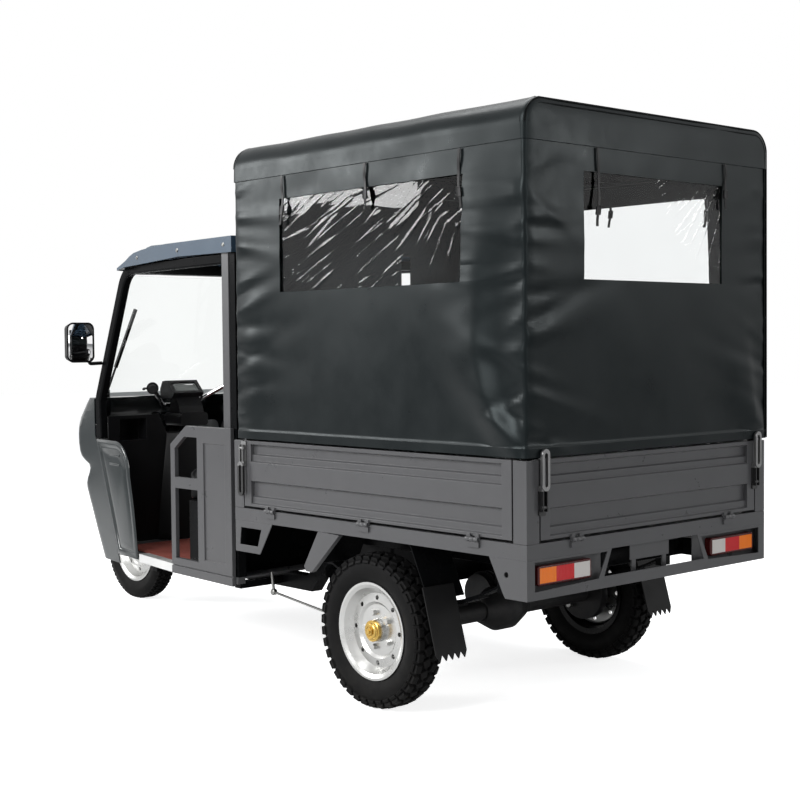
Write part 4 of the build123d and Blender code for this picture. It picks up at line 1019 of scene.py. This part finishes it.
lug_rows = [(-0.155, 0.24, 0, 0.0, 0.25, -24), (0.155, 0.24, 0, 0.0, 0.75, 24),
            (-0.385, 0.19, -17, 0.0055, 0.75, 0), (0.385, 0.19, 17, 0.0055, 0.25, 0),
            (-0.470, 0.10, -66, 0.0230, 0.75, 0), (0.470, 0.10, 66, 0.0230, 0.25, 0)]
road_rows = [(0.0, 0.09, 0, 0.0, 0.5, 0), (-0.165, 0.17, 0, 0.0, 0.25, -30), (0.165, 0.17, 0, 0.0, 0.75, 30),
             (-0.345, 0.15, -15, 0.0045, 0.75, 12), (0.345, 0.15, 15, 0.0045, 0.25, -12)]
road_depth, road_blocks = 0.005, 64
rim_flange = 0.1675


def spin_round(count, angle, copies=False):
    bpy.ops.mesh.spin(steps=count, dupli=copies, angle=angle, center=(0, 0, 0), axis=(0, 1, 0))


def tyre_piece(name, radius, width, rows, depth, count):
    """Tyre about the origin: a carcass spun from its section and rows of tread blocks spun round it."""
    crown = radius - depth
    shoulder = [(0.64, rim_flange - 0.013), (0.72, rim_flange + 0.002), (0.86, rim_flange + 0.012),
                (0.985, rim_flange + 0.040), (0.985, radius - 0.046), (0.93, crown - 0.019),
                (0.80, crown - 0.006), (0.4, crown - 0.001)]
    section = [*((-share, out) for share, out in shoulder), (0.0, crown), *reversed(shoulder)]
    carcass = drawn([(0, share * width / 2, out) for share, out in section])
    edit(carcass)
    spin_round(96, 2 * math.pi)
    leave()
    close_up(carcass)
    pieces = [carcass]
    pitch = 2 * math.pi * radius / count
    for across, wide, tilt, drop, turn, slant in rows:
        reach = wide * width / 2
        half = 0.37 * pitch
        lug = block(f"{name}_lug_{len(pieces)}", (-half, -reach, -0.009), (half, reach, depth * 0.5))
        edit(lug)
        pick("FACE", lambda face: face.normal.z > 0.9)
        bpy.ops.transform.resize(value=(0.86, 0.88, 1))
        pick("EDGE", lambda edge: all(v.co.z > 0 for v in edge.verts))
        soften(0.0012, 1)
        leave()
        lug.data.transform(Matrix.Rotation(turn * pitch / radius, 4, "Y")
                           @ Matrix.Translation((0, across * width, radius - depth * 0.5 - drop))
                           @ Matrix.Rotation(math.radians(-tilt), 4, "X")
                           @ Matrix.Rotation(math.radians(slant), 4, "Z"))
        edit(lug)
        spin_round(count - 1, 2 * math.pi * (count - 1) / count, True)
        leave()
        pieces.append(lug)
    tyre = join(name, pieces)
    edit(tyre)
    bpy.ops.mesh.normals_make_consistent(inside=False)
    leave()
    return tyre


class TRICYCLE_OT_tyres(Dressing, bpy.types.Operator):
    """Models the treaded tyres"""

    bl_idname = "tricycle.tyres"
    bl_label = "Tyres"

    def execute(self, context):
        lugs = (lug_rows, sizes().tread_depth, sizes().tread_blocks)
        road = (road_rows, road_depth, road_blocks)
        for node, body, tread in (("rear_tyre_left", "rear_wheel_left", lugs),
                                  ("rear_tyre_right", "rear_wheel_right", lugs),
                                  ("front_tyre", "front_wheel", road)):
            low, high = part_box(node)
            tyre = tyre_piece(f"{node}_treaded", (high.z - low.z) / 2, high.y - low.y, *tread)
            tyre.data.transform(Matrix.Translation((low + high) / 2))
            finished(tyre, body, "tyre")
            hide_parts(node)
        return {"FINISHED"}


# Leg shields. Pressed border: width and rise of each step from the edge inwards

shield_insets = [(0.004, 0.004), (0.006, 0.002), (0.014, 0.0), (0.004, -0.003), (0.004, -0.002),
                 (0.006, 0.001), (0.010, 0.0025), (0.020, 0.002)]
shield_thickness = 0.004
shield_proud = 0.001
rib_drops = (0.062, 0.102)


def shield_outline(low, high):
    """Outline in the side view: straight rear edge, round shoulder, level top and sloping front edge."""
    foot, head = low.z, high.z
    front_foot = low.x + 0.208
    turn_start, turn_end = low.x + 0.076, low.x + 0.225
    turn_drop = 0.145
    line = [(low.x, foot), (low.x + 0.020, foot + 0.12), (low.x + 0.045, foot + 0.24)]
    for share in range(17):
        angle = math.radians(90 * share / 16)
        line.append((turn_end - (turn_end - turn_start) * math.cos(angle),
                     head - turn_drop + turn_drop * math.sin(angle)))
    line += [(turn_end + (high.x - turn_end) * share, head) for share in (0.3, 1.0)]
    line += [(high.x - (high.x - front_foot) * share, head - (head - foot) * share)
             for share in (0.25, 0.5, 0.75, 1.0)]
    return line


class TRICYCLE_OT_shields(Dressing, bpy.types.Operator):
    """Models the pressed leg shields with their round shoulders, borders and ribs"""

    bl_idname = "tricycle.shields"
    bl_label = "Leg shields"

    def execute(self, context):
        low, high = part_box("leg_shields")
        head = high.z
        shield = drawn([(along, height, 0.0) for along, height in shield_outline(low, high)], "NGON")
        edit(shield)
        bpy.ops.mesh.normals_make_consistent(inside=False)
        if shield.data.polygons[0].normal.z < 0:
            bpy.ops.mesh.flip_normals()
        for thickness, depth in shield_insets:
            bpy.ops.mesh.inset(thickness=thickness, depth=depth)
        leave()
        modify(shield, "SOLIDIFY", thickness=shield_thickness, offset=-1.0)
        parts = [shield]
        for drop in rib_drops:
            middle = head - drop
            rib = block(f"shield_rib_{drop}", (low.x + 0.175, middle - 0.006, -0.002),
                        (low.x + 0.285, middle + 0.006, 0.0085))
            edit(rib)
            pick("EDGE", lambda edge: max(v.co.z for v in edge.verts) > 0.004)
            soften(0.0045, 4)
            leave()
            parts.append(rib)
        left = join("leg_shields_pressed", parts)
        ahead, behind = [on_surface("leg_shields", (x, 1.0, head - 0.012), (0, -1, 0))[0]
                         for x in (high.x - 0.05, low.x + 0.13)]
        lean = (ahead.y - behind.y) / (ahead.x - behind.x)
        for vertex in left.data.vertices:
            along, height, out = vertex.co
            vertex.co = (along, behind.y + (along - behind.x) * lean + out + shield_proud, height)
        right = copy_of(left, "leg_shield_right", Matrix.Scale(-1, 4, (0, 1, 0)))
        close_up(left)
        close_up(right)
        both = join("leg_shields_pressed", [left, right])
        finished(both, "chassis", "shield_paint", angle=50)
        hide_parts("leg_shields")
        return {"FINISHED"}


# Seat

seat_seams = (-0.34, -0.17, 0.0, 0.17, 0.34)


def puff_up(pad, cap):
    """Fills a pad by a short cloth run under pressure and limits how far each point moves."""
    start = [vertex.co.copy() for vertex in pad.data.vertices]
    last = 20
    take(pad)
    cloth = pad.modifiers.new("puff", "CLOTH")
    cloth.settings.use_pressure = True
    cloth.settings.uniform_pressure_force = 4.0
    cloth.settings.effector_weights.gravity = 0.0
    cloth.point_cache.frame_start = 1
    cloth.point_cache.frame_end = last
    for step in range(1, last + 1):
        bpy.context.scene.frame_set(step)
    bpy.ops.object.modifier_apply(modifier=cloth.name)
    bpy.context.scene.frame_set(1)
    for vertex, before in zip(pad.data.vertices, start):
        move = vertex.co - before
        if move.length > cap:
            vertex.co = before + move * (cap / move.length)


def cushion(name, node):
    """Stuffed pad over a seat solid, drawn in along sewn channels across its face."""
    pad = copy_of(nodes[node], name, Matrix())
    close_up(pad)
    modify(pad, "REMESH", mode="VOXEL", voxel_size=0.008)
    move_points(pad, lambda place, normal: -0.006 * normal)
    modify(pad, "SMOOTH", factor=0.5, iterations=8)
    puff_up(pad, 0.022)
    modify(pad, "SUBSURF", levels=1, render_levels=1)
    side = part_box(node)[1].y

    def channels(place, normal):
        deep = sum(hump(place.y, seam, 0.007) for seam in seat_seams)
        inside = min(1.0, max(0.0, (side - 0.03 - abs(place.y)) / 0.02))
        return -0.010 * deep * inside * normal

    move_points(pad, channels)
    finished(pad, "chassis", "seat_vinyl", angle=60)
    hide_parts(node)


class TRICYCLE_OT_seat(Dressing, bpy.types.Operator):
    """Models the stuffed seat cushion and back with their sewn channels"""

    bl_idname = "tricycle.seat"
    bl_label = "Seat"

    def execute(self, context):
        cushion("seat_cushion_stuffed", "seat_cushion")
        cushion("seat_back_stuffed", "seat_back")
        return {"FINISHED"}


# Fittings. Turned forms: radius and height of each step

cap_rows = [(0.0365, -0.012), (0.0365, 0.0015), (0.0345, 0.003), (0.0290, 0.003), (0.0275, 0.0045),
            (0.0262, 0.009), (0.0240, 0.0105), (0.0195, 0.0105), (0.0195, 0.0085), (0.0170, 0.0085)]
nut_rows = [(0.0150, 0.007), (0.0150, 0.0145), (0.0135, 0.016), (0.0080, 0.016), (0.0080, 0.019),
            (0.0065, 0.0205)]
screw_rows = [(0.0085, -0.003), (0.0085, 0.0008), (0.0065, 0.0012), (0.0062, 0.0034), (0.0045, 0.0046),
              (0.0018, 0.0046), (0.0016, 0.0032)]
eye_rows = [(0.010, -0.009), (0.012, -0.007), (0.012, 0.007), (0.010, 0.009)]
# Roof screws: share of the roof's length and height above its lowest edge
screw_spots = ((0.05, 0.055), (0.36, 0.055), (0.66, 0.045))


class TRICYCLE_OT_hubs(Dressing, bpy.types.Operator):
    """Models the brass hub caps of the rear wheels with their nuts"""

    bl_idname = "tricycle.hubs"
    bl_label = "Hub caps"

    def execute(self, context):
        hub = join("hub_cap", [turned("hub_cap", cap_rows, 32), turned("hub_nut", nut_rows, 6)])
        for title, side in (("left", 1), ("right", -1)):
            low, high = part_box(f"rear_rim_{title}")
            middle = (low + high) / 2
            place, _ = on_surface(f"rear_rim_{title}", (middle.x, side * 2.0, middle.z), (0, -side, 0))
            body = f"rear_wheel_{title}"
            twin = copy_of(hub, f"{body}_hub", facing(place, (0, side, 0)))
            finished(twin, body, "rim_silver", "brass", 30)
        bpy.data.objects.remove(hub)
        return {"FINISHED"}


class TRICYCLE_OT_fittings(Dressing, bpy.types.Operator):
    """Models the roof screws, the instrument's screen and the brake rods"""

    bl_idname = "tricycle.fittings"
    bl_label = "Fittings"

    def execute(self, context):
        self.roof_screws()
        self.dash_screen()
        self.brake_rods()
        return {"FINISHED"}

    def roof_screws(self):
        low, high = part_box("cab_roof")
        screw = turned("screw", screw_rows, 12)
        made = []
        for share, rise in screw_spots:
            for side in (1, -1):
                start = (low.x + share * (high.x - low.x), side, low.z + rise)
                place, normal = on_surface("cab_roof", start, (0, -side, 0))
                made.append(copy_of(screw, f"screw_{len(made)}", facing(place, normal)))
        bpy.data.objects.remove(screw)
        finished(join("body_screws", made), "chassis", "steel", "zinc", 30)

    def dash_screen(self):
        outward = Vector((-1, 0, 1)).normalized()
        pod = Vector((rear + 2.767, 0, 1.051))
        place, _ = on_surface("instrument", pod + 0.2 * outward, -outward)
        screen = block("dash_screen", (-0.062, -0.030, -0.002), (0.062, 0.030, 0.003))
        edit(screen)
        pick("EDGE", lambda edge: rise_of(edge) > 0.003)
        soften(0.012, 5)
        pick("FACE", lambda face: face.normal.z > 0.9)
        bpy.ops.mesh.inset(thickness=0.006, depth=0.0)
        bpy.ops.mesh.inset(thickness=0.002, depth=-0.0015)
        leave()
        screen.data.transform(Matrix.Translation(place) @ Matrix.Rotation(-math.pi / 4, 4, "Y")
                              @ Matrix.Rotation(math.pi / 2, 4, "Z"))
        finished(screen, "steering", "black_plastic", "screen", 30)

    def brake_rods(self):
        """Each rod runs from a lever ahead of the rear axle to its drum, with an eye at both ends."""
        rods = []
        for side in (1, -1):
            start = Vector((rear + 1.49, side * 0.462, 0.292))
            end = Vector((rear + 0.80, side * 0.462, 0.214))
            run = (end - start).normalized()
            rods.append(rod(f"brake_rod_{side}", start, end, 0.0045, 12))
            for order, place in enumerate((start, end)):
                eye = turned(f"brake_eye_{side}_{order}", eye_rows, 16)
                eye.data.transform(facing(place, (0, 1, 0)))
                rods.append(eye)
            rods.append(rod(f"brake_lever_{side}", start, start + Vector((0.012, 0, 0.075)), 0.006, 10))
            rods.append(rod(f"brake_nut_{side}", end - 0.03 * run, end - 0.05 * run, 0.008, 6))
        finished(join("brake_rods", rods), "chassis", "steel", "zinc", 30)


# Stage. Lamps: name, place, width and power

softboxes = [
    ("key_softbox", (-1.2, 5.6, 3.8), 2.6, 330.0),
    ("rear_softbox", (-6.5, 0.5, 2.4), 2.0, 40.0),
    ("far_softbox", (-6.6, -4.4, 2.9), 1.2, 55.0),
    ("ahead_softbox", (5.2, 5.2, 3.4), 2.0, 260.0),
    ("top_softbox", (0.3, -0.2, 6.0), 4.0, 300.0),
]
lamp_aim = Vector((0.0, 0.0, 0.9))
# Camera fitted to the photograph: angles in degrees, focal length and width in pixels, place in metres
view_azimuth, view_tilt, view_roll = -41.9338, -2.2265, -0.5428
view_focal, view_width = 1430.3545, 800.0
view_place = (-4.6404, 3.7518, 1.2388)
sensor = 36.0


def make_floor():
    deselect()
    bpy.ops.mesh.primitive_plane_add(size=60, location=(0, 0, 0))
    floor = named("studio_floor")
    material, tree, shader, place = start_finish("floor_white", Roughness=0.9, Specular_IOR_Level=0.1)
    tone = group_node(tree, tone_drift, Coordinates=place, Colour=(0.8, 0.8, 0.8, 1.0), Scale=0.5,
                      Amount=0.005)
    tree.links.new(tone["Colour"], shader.inputs["Base Color"])
    glow = add_node(tree, "ShaderNodeEmission", Strength=0.80)
    bright = tree.nodes.new("ShaderNodeAddShader")
    tree.links.new(shader.outputs[0], bright.inputs[0])
    tree.links.new(glow.outputs[0], bright.inputs[1])
    seen = tree.nodes.new("ShaderNodeLightPath").outputs["Is Camera Ray"]
    surface = mix_shader(tree, seen, shader.outputs[0], bright.outputs[0])
    tree.links.new(surface, tree.nodes["Material Output"].inputs["Surface"])
    floor.data.materials.append(material)


def make_world(scene):
    """White where the camera, a reflection or glass sees it, and a soft pale light elsewhere."""
    world = bpy.data.worlds.new("studio")
    world.use_nodes = True
    scene.world = world
    sky = world.node_tree
    soft = sky.nodes["Background"]
    soft.inputs["Color"].default_value = (0.93, 0.97, 1.0, 1.0)
    soft.inputs["Strength"].default_value = 0.24
    white = add_node(sky, "ShaderNodeBackground", Color=(1.0, 1.0, 1.0, 1.0), Strength=1.0)
    rays = sky.nodes.new("ShaderNodeLightPath").outputs
    seen = calc(sky, "ADD", rays["Is Camera Ray"], rays["Is Glossy Ray"])
    seen = calc(sky, "MINIMUM", calc(sky, "ADD", seen, rays["Is Transmission Ray"]), 1.0)
    surface = mix_shader(sky, seen, soft.outputs[0], white.outputs[0])
    sky.links.new(surface, sky.nodes["World Output"].inputs["Surface"])


def place_in(scene, name, data, matrix):
    stand = bpy.data.objects.new(name, data)
    scene.collection.objects.link(stand)
    stand.matrix_world = matrix
    return stand


def make_camera(scene):
    azimuth, tilt, roll = [math.radians(angle) for angle in (view_azimuth, view_tilt, view_roll)]
    ahead = Vector((math.cos(tilt) * math.cos(azimuth), math.cos(tilt) * math.sin(azimuth), math.sin(tilt)))
    level = ahead.cross(Vector((0, 0, 1))).normalized()
    up = level.cross(ahead)
    across = math.cos(roll) * level + math.sin(roll) * up
    upward = math.cos(roll) * up - math.sin(roll) * level
    view = bpy.data.cameras.new("photo_view")
    view.sensor_width = sensor
    view.lens = sensor * view_focal / view_width
    view.clip_end = 200.0
    turn = Matrix((across, upward, -ahead)).transposed().to_4x4()
    scene.camera = place_in(scene, "photo_view", view, Matrix.Translation(view_place) @ turn)


class TRICYCLE_OT_stage(Dressing, bpy.types.Operator):
    """Builds the floor, the lamps, the white surround and the camera"""

    bl_idname = "tricycle.stage"
    bl_label = "Stage"

    def execute(self, context):
        scene = context.scene
        scene.view_settings.view_transform = "Standard"
        make_floor()
        make_world(scene)
        for name, place, size, power in softboxes:
            lamp = bpy.data.lights.new(name, "AREA")
            lamp.size = size
            lamp.energy = power
            turn = (lamp_aim - Vector(place)).to_track_quat("-Z", "Y").to_matrix().to_4x4()
            place_in(scene, name, lamp, Matrix.Translation(place) @ turn)
        make_camera(scene)
        return {"FINISHED"}


class TRICYCLE_PT_dressing(bpy.types.Panel):
    """Lists the settings and the dressing steps"""

    bl_idname = "TRICYCLE_PT_dressing"
    bl_label = "Cargo tricycle"
    bl_space_type = "VIEW_3D"
    bl_region_type = "UI"
    bl_category = "Tricycle"

    def draw(self, context):
        for settings in (colours(), sizes()):
            box = self.layout.box()
            for key in settings.__annotations__:
                box.prop(settings, key)
        for operator in operators:
            self.layout.operator(operator.bl_idname)


operators = (
    TRICYCLE_OT_finishes,
    TRICYCLE_OT_canopy,
    TRICYCLE_OT_films,
    TRICYCLE_OT_straps,
    TRICYCLE_OT_tyres,
    TRICYCLE_OT_shields,
    TRICYCLE_OT_seat,
    TRICYCLE_OT_hubs,
    TRICYCLE_OT_fittings,
    TRICYCLE_OT_stage,
)
classes = (TricycleColours, TricycleSizes, *operators, TRICYCLE_PT_dressing)


def register():
    for item in classes:
        bpy.utils.register_class(item)
    bpy.types.Scene.tricycle_colours = bpy.props.PointerProperty(type=TricycleColours)
    bpy.types.Scene.tricycle_sizes = bpy.props.PointerProperty(type=TricycleSizes)


def unregister():
    del bpy.types.Scene.tricycle_sizes
    del bpy.types.Scene.tricycle_colours
    for item in reversed(classes):
        bpy.utils.unregister_class(item)


def main():
    register()
    for operator in operators:
        family, step = operator.bl_idname.split(".")
        getattr(getattr(bpy.ops, family), step)()


if __name__ == "__main__":
    main()
